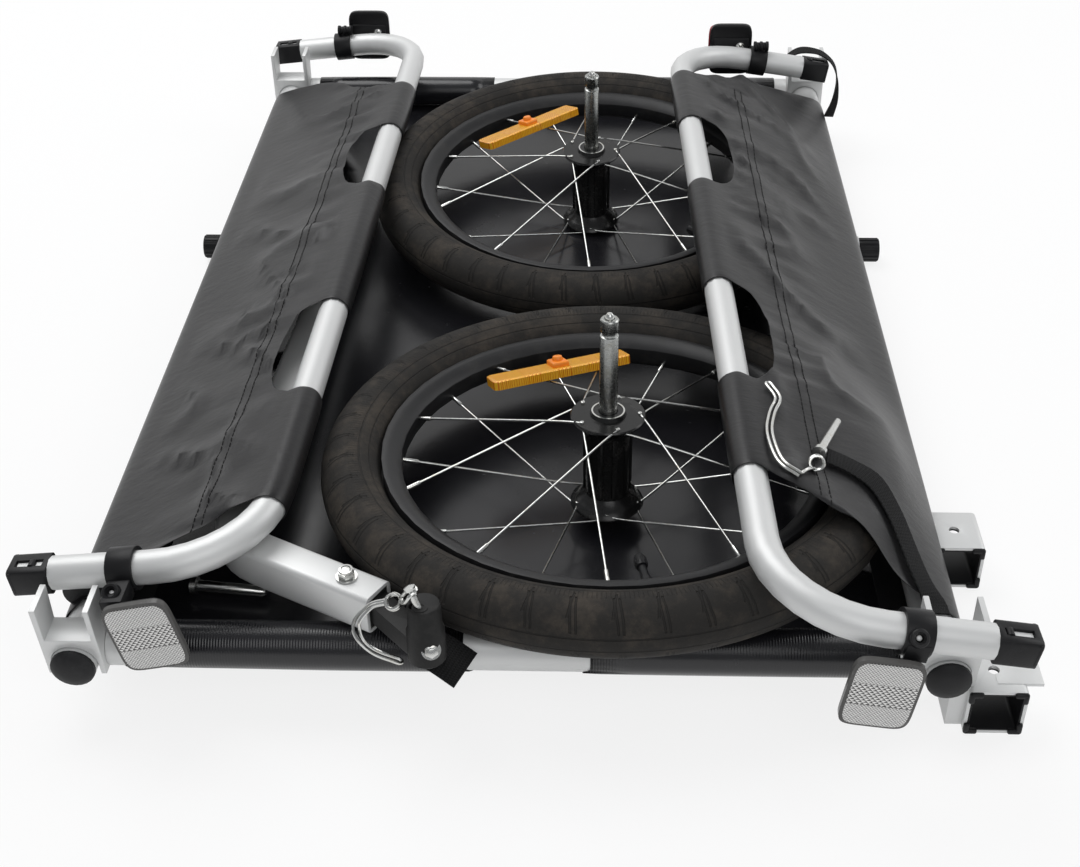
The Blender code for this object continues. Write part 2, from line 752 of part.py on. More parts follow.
def hub(name):
    """Hub shell with its flanges, bored through for the axle, and the spokes laced to the rim."""
    bore = WHEEL_AXLE_RADIUS + GAP
    f, h = FLANGE_HALF_SPACING, HUB_HALF_LENGTH
    profile = [(bore, h), (0.012, h), (0.013, f + 0.0012), (FLANGE_RADIUS, f + 0.0012)]
    profile += [(FLANGE_RADIUS, f - 0.0018), (HUB_RADIUS + 0.004, f - 0.004), (HUB_RADIUS, f - 0.010)]
    profile += [(r, -z) for r, z in profile[::-1]]
    shell = lathe(name, profile, 32, closed=True)
    for i in range(SPOKE_COUNT):
        upper = 1 if i % 2 else -1
        lead = 1 if (i // 2) % 2 else -1
        angle = math.tau * i / SPOKE_COUNT
        foot = angle - lead * math.radians(52)
        start = (0.026 * math.cos(foot), 0.026 * math.sin(foot), upper * (f + 0.0002 - lead * 0.0009))
        rim = WHEEL_RADIUS - 2 * TYRE_SECTION - RIM_DEPTH - 3 * GAP
        end = (rim * math.cos(angle), rim * math.sin(angle), upper * 0.003)
        join(shell, rod("%s_spoke_%d" % (name, i), start, end, SPOKE_RADIUS, 6))
    return shell


def wheel(bed, label, centre, tilt, reflector_angle):
    turn = Matrix.Rotation(math.radians(tilt), 4, "X")
    place = body("wheel_" + label, bed, centre, turn)
    ring = WHEEL_RADIUS - TYRE_SECTION
    tread = []
    for i in range(12):
        angle = math.pi / 2 - math.tau * i / 12
        tread.append((ring + TYRE_SECTION * math.cos(angle), TYRE_SECTION * math.sin(angle)))
    finish(lathe("tyre_" + label, tread, 48, closed=True), place, RUBBER, smooth=True)
    outer = ring - TYRE_SECTION - GAP
    inner = outer - RIM_DEPTH
    w = RIM_HALF_WIDTH
    profile = [(inner, 0.006), (outer - 0.006, w), (outer, w)]
    profile += [(r, -z) for r, z in profile[::-1]]
    finish(lathe("rim_" + label, profile, 48, closed=True), place, BLACK_METAL, smooth=True)
    finish(hub("hub_" + label), place, BLACK_METAL, smooth=True)
    slope = math.atan2(FLANGE_HALF_SPACING - 0.003, inner - 0.026)
    radius = 0.093
    height = FLANGE_HALF_SPACING * (1 - (radius - 0.026) / (inner - 0.026)) + 0.003 * 0.58 + 0.0031
    bar = prism("spoke_reflector_" + label, rounded_outline(0.022, 0.108, 0.004), 0.006, "XY")
    spot = Matrix.Rotation(math.radians(reflector_angle), 4, "Z") @ Matrix.Translation((radius, 0, height))
    finish(bar, place, AMBER_LENS, spot @ Matrix.Rotation(slope, 4, "Y"))
    tip = FLANGE_HALF_SPACING + WHEEL_AXLE_RISE
    axle = body("wheel_axle_" + label, bed, centre, turn)
    a = WHEEL_AXLE_RADIUS
    profile = [(0, tip - 0.008), (0.0035, tip - 0.008), (0.0035, tip), (a - 0.0008, tip)]
    profile += [(a, tip - 0.001), (a, tip - 0.009)]
    profile += [(a - 0.0013, tip - 0.0095), (a - 0.0013, tip - 0.0125), (a, tip - 0.013)]
    profile += [(a, -HUB_HALF_LENGTH + 0.0005), (0, -HUB_HALF_LENGTH + 0.0005)]
    finish(lathe("axle_" + label, profile, 24), axle, STEEL, smooth=True)
    button = body("axle_button_" + label, axle, (0, 0, tip))
    dome = [(0, 0.004), (0.0018, 0.0036), (0.0029, 0.0022), (0.0032, 0), (0.0032, -0.0035), (0, -0.0035)]
    finish(lathe("button_" + label, dome, 16), button, STEEL, smooth=True)
    return place


# Tow bar

def bar_height(y_from_front):
    """Height of the tow bar's axis: its front lies on the front cross tube, its rear end on the floor."""
    base = SLEEVE_RADIUS + CLOTH / 2 + 2 * GAP + BAR_HEIGHT / 2
    return base - BAR_SLOPE * (y_from_front - CROSS_TUBE_INSET)


def tow_bar(group, home):
    rear, corner, front = Vector((-0.167, 0.631)), Vector((-0.1865, 0.085)), Vector((-0.0800, 0.0245))
    back = (rear - corner).normalized()
    ahead = (front - corner).normalized()
    bend = 0.028
    line = [rear]
    start, end = corner + back * bend, corner + ahead * bend
    for i in range(7):
        t = i / 6
        line.append((1 - t) ** 2 * start + 2 * t * (1 - t) * corner + t**2 * end)
    line.append(front)
    rings = []
    for i, point in enumerate(line):
        along = (line[min(i + 1, len(line) - 1)] - line[max(i - 1, 0)]).normalized()
        side = Vector((-along.y, along.x, 0))
        ring = []
        for across, up in rounded_outline(BAR_WIDTH, BAR_HEIGHT, 0.004):
            x, y = point.x + side.x * across, point.y + side.y * across
            ring.append((x, from_front(y), bar_height(y) + up))
        rings.append(ring)
    bar = loft("tow_bar", rings)
    tongue_axis = ahead
    mouth = Vector((front.x, from_front(front.y), bar_height(front.y)))
    yaw = math.atan2(tongue_axis.y, tongue_axis.x)
    turn = Matrix.Rotation(yaw, 4, "Z")
    inside = mouth - Vector((tongue_axis.x, tongue_axis.y, 0)) * 0.014
    opening = (0.034, BAR_WIDTH - 2 * BAR_MOUTH_WALL, BAR_HEIGHT - 2 * BAR_MOUTH_WALL)
    cut(bar, box("tow_bar_mouth", opening, inside, turn))
    finish(bar, group, ALUMINIUM, home)
    return mouth, Vector((tongue_axis.x, tongue_axis.y, 0)), turn


def tow_bar_group(bed):
    group = body("tow_bar_body", bed, (-0.1865, from_front(0.085), bar_height(0.085)))
    home = Matrix.Translation(-group.matrix_basis.translation)
    mouth, ahead, turn = tow_bar(group, home)
    post = Vector((-0.047, from_front(-0.0115), 0.0465))
    profile = [(0, 0.0215), (0.0093, 0.0215), (0.0103, 0.0200), (0.0106, 0.0040), (0.0118, 0.0010)]
    profile += [(0.0120, -0.0205)]
    connector = lathe("flex_connector", profile + [(0.0112, -0.0215), (0, -0.0215)], 20)
    connector.location = post
    across = Vector((post.x, post.y, mouth.z)) - mouth
    yaw = Matrix.Rotation(math.atan2(across.y, across.x), 4, "Z")
    plug = (0.024, BAR_WIDTH - 2 * BAR_MOUTH_WALL - 2 * GAP, BAR_HEIGHT - 2 * BAR_MOUTH_WALL - 2 * GAP)
    join(connector, box("connector_tongue", (0.030, 0.015, 0.015), mouth - ahead * 0.009, turn))
    join(connector, box("connector_plug", plug, mouth - ahead * 0.0125, turn))
    join(connector, box("connector_neck", (across.length, 0.015, 0.0148), mouth + across / 2, yaw))
    pin_at = post + Vector((-0.0055, -0.0025, -0.0070))
    down, up = Vector((0, 0, -0.012)), Vector((0, 0, 0.040))
    cut(connector, rod("hitch_pin_hole", pin_at + down, pin_at + up, 0.0033, 16))
    finish(connector, group, RUBBER, home)
    bolt_at = mouth - ahead * 0.024
    top = BAR_HEIGHT / 2 + GAP
    foot = bolt_at + Vector((0, 0, top))
    finish(rod("tow_bar_bolt", foot, foot + Vector((0, 0, 0.006)), 0.0055, 6), group, STEEL, home)
    profile = [(0, 0.040), (0.004, 0.039), (0.005, 0.034), (0.003, 0.033), (0.003, -0.009), (0, -0.009)]
    finish(lathe("hitch_pin", profile, 16), group, STEEL, home @ Matrix.Translation(pin_at))
    hitch_gear(group, home)
    return group


def wire_loop(name, line, spread, radius=0.0011):
    """A wire bent back on itself: out along one side of a line, round its end and home along the other."""
    out, home = [], []
    for i, point in enumerate(line):
        along = (line[min(i + 1, len(line) - 1)] - line[max(i - 1, 0)]).normalized()
        side = along.cross(Vector((0, 0, 1))).normalized() * spread / 2
        out.append(point + side)
        home.append(point - side)
    return tube(name, out + home[::-1], radius, 1, cyclic=True)


def hitch_gear(group, home):
    """The wire clasp that locks the hitch pin, and the end of the safety strap under the connector."""
    knots = [(-0.0572, -0.0102, 0.0745), (-0.0655, -0.0035, 0.0660), (-0.0800, -0.0010, 0.0570)]
    knots += [(-0.0885, -0.0080, 0.0490), (-0.0868, -0.0125, 0.0400), (-0.0785, -0.0135, 0.0300)]
    knots += [(-0.0640, -0.0135, 0.0225)]
    line = smooth_line([(x, from_front(y), z) for x, y, z in knots], 4)
    finish(wire_loop("hitch_clasp", line, 0.005), group, STEEL, home)
    knots = ((-0.0520, 0.0010, 0.0224), (-0.0400, -0.0040, 0.0200), (-0.0243, -0.0105, 0.0122))
    line = smooth_line([(x, from_front(y), z) for x, y, z in knots], 4)
    strap = ribbon("hitch_strap", line, [Vector((0, -0.25, 1))] * len(line), 0.028, 0.0016)
    finish(strap, group, WEBBING, home)


def cloth_height(side, x, y):
    """Height of the side cloth's middle surface over a point of the bed."""
    section = cloth_section(side, y)[RAIL_COLUMNS:RUN_COLUMNS + 1]
    for a, b in zip(section, section[1:]):
        if min(a.x, b.x) <= x <= max(a.x, b.x):
            return a.z + (b.z - a.z) * (x - a.x) / (b.x - a.x)
    return section[0].z if abs(x) > abs(section[0].x) else section[-1].z


def on_cloth(x, y_front, rise):
    """A point this far above the right side cloth."""
    y = from_front(y_front)
    return Vector((x, y, cloth_height(RIGHT, x, y) + rise))


def cloth_normal(point):
    """Upward normal of the right side cloth below this point."""
    step = 0.004
    x, y = point.x, point.y
    along_x = cloth_height(RIGHT, x + step, y) - cloth_height(RIGHT, x - step, y)
    along_y = cloth_height(RIGHT, x, y + step) - cloth_height(RIGHT, x, y - step)
    return Vector((-along_x, -along_y, 2 * step))


def pull_pin(name, start, end, radius):
    """A straight pin with a domed head at its start."""
    axis = Vector(end) - Vector(start)
    length, r = axis.length, radius
    profile = [(0, length), (r * 0.7, length), (r, length - 0.002), (r, 0.006)]
    profile += [(r * 1.6, 0.005), (r * 1.6, 0.001), (0, 0)]
    pin = lathe(name, profile, 16)
    return pin, Matrix.Translation(start) @ axis.to_track_quat("Z", "Y").to_matrix().to_4x4()


def stowed_gear(bed):
    """The pin, clasp and strap on the right side cloth, the loose pin on the floor and the rear strap."""
    head, tip = on_cloth(0.199, 0.126, 0.0066), on_cloth(0.218, 0.173, 0.0062)
    pin, place = pull_pin("tow_bar_pin", head, tip, 0.003)
    finish(pin, bed, STEEL, place, smooth=True)
    places = [(0.172, 0.197), (0.177, 0.180), (0.172, 0.164), (0.168, 0.139), (0.172, 0.108)]
    places += [(0.184, 0.096), (0.194, 0.106)]
    line = smooth_line([on_cloth(x, y, 0.0029) for x, y in places], 3)
    finish(wire_loop("tow_bar_clasp", line, 0.004), bed, STEEL)
    places = ((0.206, 0.132), (0.222, 0.128), (0.237, 0.118), (0.248, 0.100))
    knots = [on_cloth(x, y, 0.0034) for x, y in places]
    knots += [on_cloth(0.255, 0.080, 0.0044), on_cloth(0.260, 0.062, 0.0050)]
    knots += [Vector((0.2665, from_front(0.046), 0.0245)), Vector((0.2680, from_front(0.034), 0.0235))]
    line = smooth_line(knots, 3)
    normals = [cloth_normal(point) for point in line]
    finish(ribbon("tow_bar_strap", line, normals, 0.020, 0.0014), bed, WEBBING)
    z = floor_height(from_front(0.086)) + CLOTH / 2 + 0.0072
    pin, place = pull_pin("loose_pin", (-0.2185, from_front(0.089), z), (-0.166, from_front(0.083), z), 0.004)
    knots = [(0.0035, 0, 0.051), (0.011, 0.004, 0.058), (0.014, 0.006, 0.050), (0.012, 0.004, 0.040)]
    join(pin, tube("loose_pin_wire", smooth_line(knots, 3), 0.0012, 1))
    finish(pin, bed, STEEL, place)
    back = [(0.2918, 0.806, 0.003), (0.2985, 0.818, 0.016), (0.3004, 0.829, 0.033), (0.2960, 0.836, 0.0475)]
    back += [(0.2845, 0.840, 0.0568), (0.2725, 0.843, 0.0592), (0.2612, 0.8475, 0.0572)]
    back += [(0.2528, 0.8525, 0.0500), (0.2462, 0.8540, 0.0415)]
    line = smooth_line([(x, from_front(y), z) for x, y, z in back], 4)
    normals = [Vector((point.x - 0.280, 0, point.z - 0.030)) for point in line]
    finish(ribbon("rear_strap", line, normals, 0.010, 0.0014), bed, WEBBING)


def build():
    bed = body("bed_frame", None, (BED_SHIFT, 0, AXIS_HEIGHT))
    half = BED_LENGTH / 2
    cross = RAIL_SPACING / 2 - RAIL_RADIUS - BRACKET_WALL - GAP
    for side, label in ((LEFT, "left"), (RIGHT, "right")):
        x = side * RAIL_SPACING / 2
        finish(rod("rail_" + label, (x, -half, 0), (x, half, 0), RAIL_RADIUS), bed, ALUMINIUM, smooth=False)
        for end, place in ((-1, "front"), (1, "rear")):
            corner_bracket("corner_bracket_%s_%s" % (place, label), bed, side, end)
            rail_cap("rail_cap_%s_%s" % (place, label), bed, side, end)
        side_panel(bed, label)
        side_frame(bed, side, label)
    for end, place in ((-1, "front"), (1, "rear")):
        y = cross_tube_at(end)
        finish(rod("cross_tube_" + place, (-cross, y, 0), (cross, y, 0), RAIL_RADIUS), bed, ALUMINIUM)
    floor_sheet(bed)
    axle_tube(bed)
    receiver("receiver_front", bed, from_front(RECEIVER_FRONT), RAIL_RADIUS + GAP, 0.010)
    sleeved = SLEEVE_RADIUS + CLOTH / 2 + GAP
    receiver("receiver_rear", bed, from_front(RECEIVER_FRONT + RECEIVER_PITCH), sleeved, 0.0)
    wheel(bed, "near", near_wheel_centre(), NEAR_TILT, 112.7)
    wheel(bed, "far", far_wheel_centre(), FAR_TILT, 130.0)
    tow_bar_group(bed)
    stowed_gear(bed)


build()
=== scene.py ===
"""Looks of a flatbed bike trailer folded for storage: finishes, cloth, tyres, laced wheels and fittings."""

import json
import logging
import math
from dataclasses import dataclass, field
from enum import Enum
from typing import Iterable, Optional, Sequence

import bmesh
import bpy
from mathutils import Matrix, Vector, noise
from mathutils.bvhtree import BVHTree

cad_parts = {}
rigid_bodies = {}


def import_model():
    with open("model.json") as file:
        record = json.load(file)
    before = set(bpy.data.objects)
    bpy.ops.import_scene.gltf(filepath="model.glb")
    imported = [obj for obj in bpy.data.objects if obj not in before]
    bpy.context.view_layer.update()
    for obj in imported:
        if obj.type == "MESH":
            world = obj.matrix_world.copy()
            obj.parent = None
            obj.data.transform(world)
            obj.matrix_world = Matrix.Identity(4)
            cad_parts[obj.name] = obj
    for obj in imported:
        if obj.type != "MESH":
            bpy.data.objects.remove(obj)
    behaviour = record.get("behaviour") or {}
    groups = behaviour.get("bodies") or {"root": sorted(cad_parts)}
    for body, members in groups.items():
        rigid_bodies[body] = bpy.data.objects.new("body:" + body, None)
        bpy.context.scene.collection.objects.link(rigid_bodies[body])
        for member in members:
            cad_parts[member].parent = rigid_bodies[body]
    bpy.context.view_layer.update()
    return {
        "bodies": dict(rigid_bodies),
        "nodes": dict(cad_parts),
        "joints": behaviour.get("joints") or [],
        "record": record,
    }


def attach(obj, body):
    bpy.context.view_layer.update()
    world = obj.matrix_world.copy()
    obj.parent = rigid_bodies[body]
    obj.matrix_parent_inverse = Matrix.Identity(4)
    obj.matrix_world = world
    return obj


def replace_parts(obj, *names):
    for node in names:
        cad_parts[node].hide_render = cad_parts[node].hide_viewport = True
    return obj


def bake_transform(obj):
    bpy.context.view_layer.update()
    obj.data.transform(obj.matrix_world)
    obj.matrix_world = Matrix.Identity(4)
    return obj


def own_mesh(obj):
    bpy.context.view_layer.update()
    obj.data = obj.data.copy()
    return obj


LOG = logging.getLogger("trailer")
BED_MIDDLE = 0.439
BED_RISE = 0.0475
BED_SHIFT = -0.006
RAIL_X = 0.272
SHARP_DEGREES = 38.0
BEVEL_DEGREES = 40.0
FORM_EDGE_RADIANS = 0.5
RAY_START = 0.4
WIRE_SIDES = 8
CLASP_WIRE = 0.0011

Colour = tuple[float, float, float]
Point = tuple[float, float, float]
Outline = Sequence[tuple[float, float]]


def bed_point(x: float, y: float, z: float) -> Vector:
    """A point given from the middle between the rails, from their front ends and from their middle height."""
    return Vector((x + BED_SHIFT, y - BED_MIDDLE, z + BED_RISE))


def bed_points(places: Iterable[Point]) -> list[Vector]:
    """Several points given in the same way."""
    return [bed_point(*place) for place in places]


def offset(x: float, y: float, z: float) -> Matrix:
    """A move by these amounts."""
    return Matrix.Translation((x, y, z))


def rotation(angle: float, axis: str) -> Matrix:
    """A turn by an angle in radians about an axis."""
    return Matrix.Rotation(angle, 4, axis)


def facing(direction: Vector) -> Matrix:
    """A turn that brings the Z axis on to a direction."""
    return direction.to_track_quat("Z", "Y").to_matrix().to_4x4()


def clamped(value: float) -> float:
    """The nearest value from 0 to 1."""
    return min(1.0, max(0.0, value))


def new_object(name: str, data: bpy.types.ID) -> bpy.types.Object:
    """Adds an object to the scene."""
    made = bpy.data.objects.new(name, data)
    bpy.context.scene.collection.objects.link(made)
    return made


class Side(Enum):
    """The two long sides of the bed."""

    LEFT = -1
    RIGHT = 1

    @property
    def label(self) -> str:
        """Word that ends the names of this side's nodes."""
        return self.name.lower()


HOOPS = {
    Side.LEFT: ((-0.1462, 0.4635, 0.0558), (-1.461, -0.50, -6.62)),
    Side.RIGHT: ((0.1460, 0.4019, 0.0708), (1.50, -0.70, 9.19)),
}
LEG_AT = 0.429


def hoop_place(side: Side) -> Matrix:
    """Where a side hoop lies: its run along Y, its legs at LEG_AT and reaching to its own rail."""
    centre, (toe, pitch, tilt) = HOOPS[side]
    place = Matrix.Translation(bed_point(*centre))
    for degrees, axis in ((toe, "Z"), (pitch, "X"), (tilt, "Y")):
        place = place @ rotation(math.radians(degrees), axis)
    return place


class Slot(Enum):
    """The material slots that the pieces below take."""

    STEEL = "plated_steel"
    PLASTIC = "black_plastic"
    TYRE = "tyre_rubber"
    RUBBER = "soft_rubber"
    FLOOR = "floor_cloth"
    PANEL = "panel_cloth"
    WEBBING = "webbing"
    CLEAR = "clear_lens"
    RED = "red_lens"
    AMBER = "amber_lens"
    BLACK = "black_metal"


# Shader building


class Value:
    """A shader value: ordinary operators on it add Math nodes."""

    def __init__(self, graph: "Graph", socket: bpy.types.NodeSocket) -> None:
        """Wraps one output socket of a graph."""
        self.graph = graph
        self.socket = socket

    def _math(self, operation: str, first: object, second: object = 0.0) -> "Value":
        """Adds one Math node over one or two values."""
        return self.graph.value("ShaderNodeMath", {"operation": operation}, {0: first, 1: second})

    def __add__(self, other: object) -> "Value":
        """Sum."""
        return self._math("ADD", self, other)

    __radd__ = __add__

    def __sub__(self, other: object) -> "Value":
        """Difference."""
        return self._math("SUBTRACT", self, other)

    def __rsub__(self, other: object) -> "Value":
        """Difference from a number."""
        return self._math("SUBTRACT", other, self)

    def __mul__(self, other: object) -> "Value":
        """Product."""
        return self._math("MULTIPLY", self, other)

    __rmul__ = __mul__

    def __truediv__(self, other: object) -> "Value":
        """Quotient."""
        return self._math("DIVIDE", self, other)

    def size(self) -> "Value":
        """Distance from zero."""
        return self._math("ABSOLUTE", self)

    def sine(self) -> "Value":
        """Sine of this value in radians."""
        return self._math("SINE", self)

    def fraction(self) -> "Value":
        """Part after the decimal point."""
        return self._math("FRACT", self)

    def whole(self) -> "Value":
        """Part before the decimal point."""
        return self._math("FLOOR", self)

    def least(self, other: object) -> "Value":
        """Smaller of the two."""
        return self._math("MINIMUM", self, other)

    def most(self, other: object) -> "Value":
        """Larger of the two."""
        return self._math("MAXIMUM", self, other)

    def ramp(self, low: float, high: float) -> "Value":
        """Smooth step from 0 at low to 1 at high."""
        settings = {"interpolation_type": "SMOOTHSTEP"}
        inputs = {"Value": self, "From Min": low, "From Max": high, "To Min": 0.0, "To Max": 1.0}
        return self.graph.value("ShaderNodeMapRange", settings, inputs)

    def band(self, middle: float, half: float, soft: float) -> "Value":
        """1 within half of the middle, falling to 0 over the soft width."""
        return 1 - (self - middle).size().ramp(half, half + soft)


class Graph:
    """The node tree of one material."""

    def __init__(self, name: str) -> None:
        """Starts an empty material of this name."""
        self.material = bpy.data.materials.new(name)
        self.material.use_nodes = True
        self.tree = self.material.node_tree
        self.tree.nodes.clear()

    def node(
        self, kind: str, settings: Optional[dict] = None, inputs: Optional[dict] = None
    ) -> bpy.types.Node:
        """Adds a node.

        Args:
            kind: Blender's identifier of the node.
            settings: Attributes to set first.
            inputs: Socket name or number to a number, colour, Value or output socket.

        Returns:
            The new node.
        """
        node = self.tree.nodes.new(kind)
        for key, setting in (settings or {}).items():
            setattr(node, key, setting)
        for key, given in (inputs or {}).items():
            if isinstance(given, Value):
                self.tree.links.new(given.socket, node.inputs[key])
            elif isinstance(given, bpy.types.NodeSocket):
                self.tree.links.new(given, node.inputs[key])
            else:
                node.inputs[key].default_value = given
        return node

    def value(
        self, kind: str, settings: Optional[dict] = None, inputs: Optional[dict] = None, out: object = 0
    ) -> Value:
        """Adds a node and gives one of its outputs as a value."""
        return Value(self, self.node(kind, settings, inputs).outputs[out])

    def coordinates(self, source: str = "Object") -> Value:
        """Object coordinates, which are metres in the trailer's own frame, or the piece's UV map."""
        return self.value("ShaderNodeTexCoord", out=source)

    def mapped(self, vector: Value, scale: Point) -> Value:
        """Coordinates that are scaled along their axes."""
        return self.value("ShaderNodeMapping", {}, {"Vector": vector, "Scale": scale})

    def split(self, vector: Value) -> tuple[Value, Value, Value]:
        """The three parts of a vector."""
        node = self.node("ShaderNodeSeparateXYZ", {}, {0: vector})
        return tuple(Value(self, node.outputs[i]) for i in range(3))

    def speckle(self, vector: Value, scale: float, detail: float = 3.0, rough: float = 0.55) -> Value:
        """Soft noise from 0 to 1."""
        inputs = {"Vector": vector, "Scale": scale, "Detail": detail, "Roughness": rough}
        return self.value("ShaderNodeTexNoise", {}, inputs)

    def blend(self, mask: object, first: object, second: object) -> Value:
        """Colour that goes from first to second as mask goes from 0 to 1."""
        def rgba(colour: object) -> object:
            return (*colour, 1) if isinstance(colour, tuple) else colour

        inputs = {"Factor": mask, 6: rgba(first), 7: rgba(second)}
        return self.value("ShaderNodeMix", {"data_type": "RGBA"}, inputs, out=2)

    def surface(self, sockets: dict, height: Value, depth: float) -> bpy.types.Material:
        """Ends the graph in a Principled shader.

        Args:
            sockets: Principled socket name to a number, colour or Value.
            height: Relief from 0 to 1.
            depth: Height in metres that 1 stands for.

        Returns:
            The finished material.
        """
        given = {key: (*v, 1) if isinstance(v, tuple) else v for key, v in sockets.items()}
        relief = {"Strength": 1.0, "Distance": depth, "Height": height}
        given["Normal"] = self.value("ShaderNodeBump", {}, relief)
        shader = self.node("ShaderNodeBsdfPrincipled", {}, given)
        self.node("ShaderNodeOutputMaterial", {}, {"Surface": shader.outputs[0]})
        return self.material


class Grain(Enum):
    """Direction that a drawn or brushed surface runs in, as a scale on the three axes."""

    ALONG_X = (0.02, 1.0, 1.0)
    ALONG_Y = (1.0, 0.02, 1.0)
    NONE = (1.0, 1.0, 1.0)


@dataclass(frozen=True)
class Finish:
    """A surface finish; its material is made once."""

    name: str

    def material(self) -> bpy.types.Material:
        """The material of this finish, made on first use."""
        found = bpy.data.materials.get(self.name)
        return found or self.build(Graph(self.name))

    def build(self, graph: Graph) -> bpy.types.Material:
        """Fills the graph; each finish has its own."""
        raise NotImplementedError


@dataclass(frozen=True)
class SilverTube(Finish):
    """Satin anodised aluminium with faint drawing lines, handling marks and a few scuffs."""

    grain: Grain = Grain.ALONG_Y
    tint: Colour = (0.70, 0.705, 0.70)

    def build(self, graph: Graph) -> bpy.types.Material:
        """Pale satin metal."""
        at = graph.coordinates()
        lines = graph.speckle(graph.mapped(at, self.grain.value), 1400, 2)
        cloudy = graph.speckle(at, 26, 4)
        scuffs = graph.speckle(at, 420, 6, 0.7).ramp(0.66, 0.74)
        tone = (cloudy - 0.5) * 0.10 + (lines - 0.5) * 0.06
        dull = tuple(c * 0.72 for c in self.tint)
        colour = graph.blend((0.12 - tone + scuffs * 0.35).most(0).least(1), self.tint, dull)
        sockets = {"Base Color": colour, "Metallic": 0.42, "Roughness": 0.50 + tone + scuffs * 0.15}
        return graph.surface(sockets, lines * 0.5 + scuffs * -0.4, 0.00006)


@dataclass(frozen=True)
class BrightSteel(Finish):
    """Zinc-plated steel: bright, slightly yellowed, with fine turning lines."""

    tint: Colour = (0.62, 0.625, 0.61)
    roughness: float = 0.22

    def build(self, graph: Graph) -> bpy.types.Material:
        """Bright plated metal."""
        at = graph.coordinates()
        mottled = graph.speckle(at, 160, 5, 0.65)
        marks = graph.speckle(graph.mapped(at, (1, 1, 14)), 300, 3)
        warm = (self.tint[0] * 0.86, self.tint[1] * 0.80, self.tint[2] * 0.70)
        colour = graph.blend(mottled.ramp(0.45, 0.85), self.tint, warm)
        rough = self.roughness + (mottled - 0.5) * 0.22 + (marks - 0.5) * 0.12
        return graph.surface({"Base Color": colour, "Metallic": 1.0, "Roughness": rough}, marks, 0.00005)


@dataclass(frozen=True)
class MouldedBlack(Finish):
    """Moulded black plastic with a fine spark-eroded grain and paler worn places."""

    colour: Colour = (0.010, 0.010, 0.011)
    roughness: float = 0.42
    grain: float = 900.0
    mirror: float = 0.22

    def build(self, graph: Graph) -> bpy.types.Material:
        """Dark plastic."""
        at = graph.coordinates()
        fine = graph.speckle(at, self.grain, 2)
        worn = graph.speckle(at, 60, 5, 0.7).ramp(0.56, 0.80)
        pale = tuple(c * 2.0 + 0.003 for c in self.colour)
        colour = graph.blend(worn * 0.7, self.colour, pale)
        sockets = {"Base Color": colour, "Roughness": self.roughness + worn * 0.12 + (fine - 0.5) * 0.1}
        sockets["Specular IOR Level"] = self.mirror
        return graph.surface(sockets, fine, 0.00008)


@dataclass(frozen=True)
class BlackMetal(Finish):
    """Black anodised metal with a soft sheen and dust in patches."""

    colour: Colour = (0.018, 0.018, 0.019)
    roughness: float = 0.34
    mirror: float = 0.35

    def build(self, graph: Graph) -> bpy.types.Material:
        """Dark metal."""
        at = graph.coordinates()
        dust = graph.speckle(at, 45, 6, 0.7).ramp(0.50, 0.78)
        fine = graph.speckle(at, 1200, 2)
        colour = graph.blend(dust * 0.55, self.colour, (0.045, 0.043, 0.040))
        sockets = {"Base Color": colour, "Metallic": 0.1, "Roughness": self.roughness + dust * 0.25}
        sockets["Specular IOR Level"] = self.mirror
        return graph.surface(sockets, fine, 0.00004)


@dataclass(frozen=True)
class TyreTread(Finish):
    """Dusty tyre rubber; the UV map runs round the tyre in tread pitches and across it from -1 to 1."""

    colour: Colour = (0.020, 0.0185, 0.017)
    dust: Colour = (0.092, 0.075, 0.058)
    mirror: float = 0.25
    relief: float = 0.0022

    def build(self, graph: Graph) -> bpy.types.Material:
        """Treaded rubber: sipes near the crown, fine lines on the side walls, dust in the hollows, and
        painted shade that darkens the cuts and wall lines.
        """
        round_by, across, _ = graph.split(graph.coordinates("UV"))
        at = graph.coordinates()
        far = across.size()
        lean = round_by + across * 0.22 + (graph.speckle(at, 26, 3) - 0.5) * 0.22
        turn = lean.fraction()
        long_sipe = (turn - 0.22).size().ramp(0.018, 0.030) * (turn - 0.34).size().ramp(0.018, 0.030)
        sipe_zone = far.band(0.30, 0.17, 0.02)
        hook = ((round_by - across * 0.35 + 0.5).fraction() - 0.5).size().ramp(0.020, 0.034)
        hook_zone = far.band(0.40, 0.13, 0.02)
        rib = far.band(0.07, 0.004, 0.006)
        walls = far.band(0.60, 0.006, 0.006).most(far.band(0.72, 0.004, 0.005))
        walls = walls.most(far.band(0.88, 0.004, 0.005))
        cut = ((1 - long_sipe) * sipe_zone).most((1 - hook) * hook_zone).most(rib)
        ring = (round_by * 9).fraction().band(0.5, 0.04, 0.05) * far.band(0.53, 0.04, 0.02)
        dirt = graph.speckle(at, 38, 6, 0.72)
        fine = graph.speckle(at, 520, 4, 0.7)
        mask = (dirt.ramp(0.42, 0.72) * 0.45 + fine.ramp(0.55, 0.8) * 0.25 + cut * 0.2).least(1)
        colour = graph.blend(mask, self.colour, self.dust)
        # Painted shade: the cuts, and more faintly the side walls' lines, are darkened towards near black.
        colour = graph.blend((cut * 0.75).most(walls * 0.4), colour, (0.008, 0.008, 0.008))
        height = 1 - (cut.most(ring * 0.5) * 0.8 + walls * 0.35) + (fine - 0.5) * 0.10
        sockets = {"Base Color": colour, "Roughness": 0.78 + (fine - 0.5) * 0.25}
        sockets["Specular IOR Level"] = self.mirror
        return graph.surface(sockets, height, self.relief)


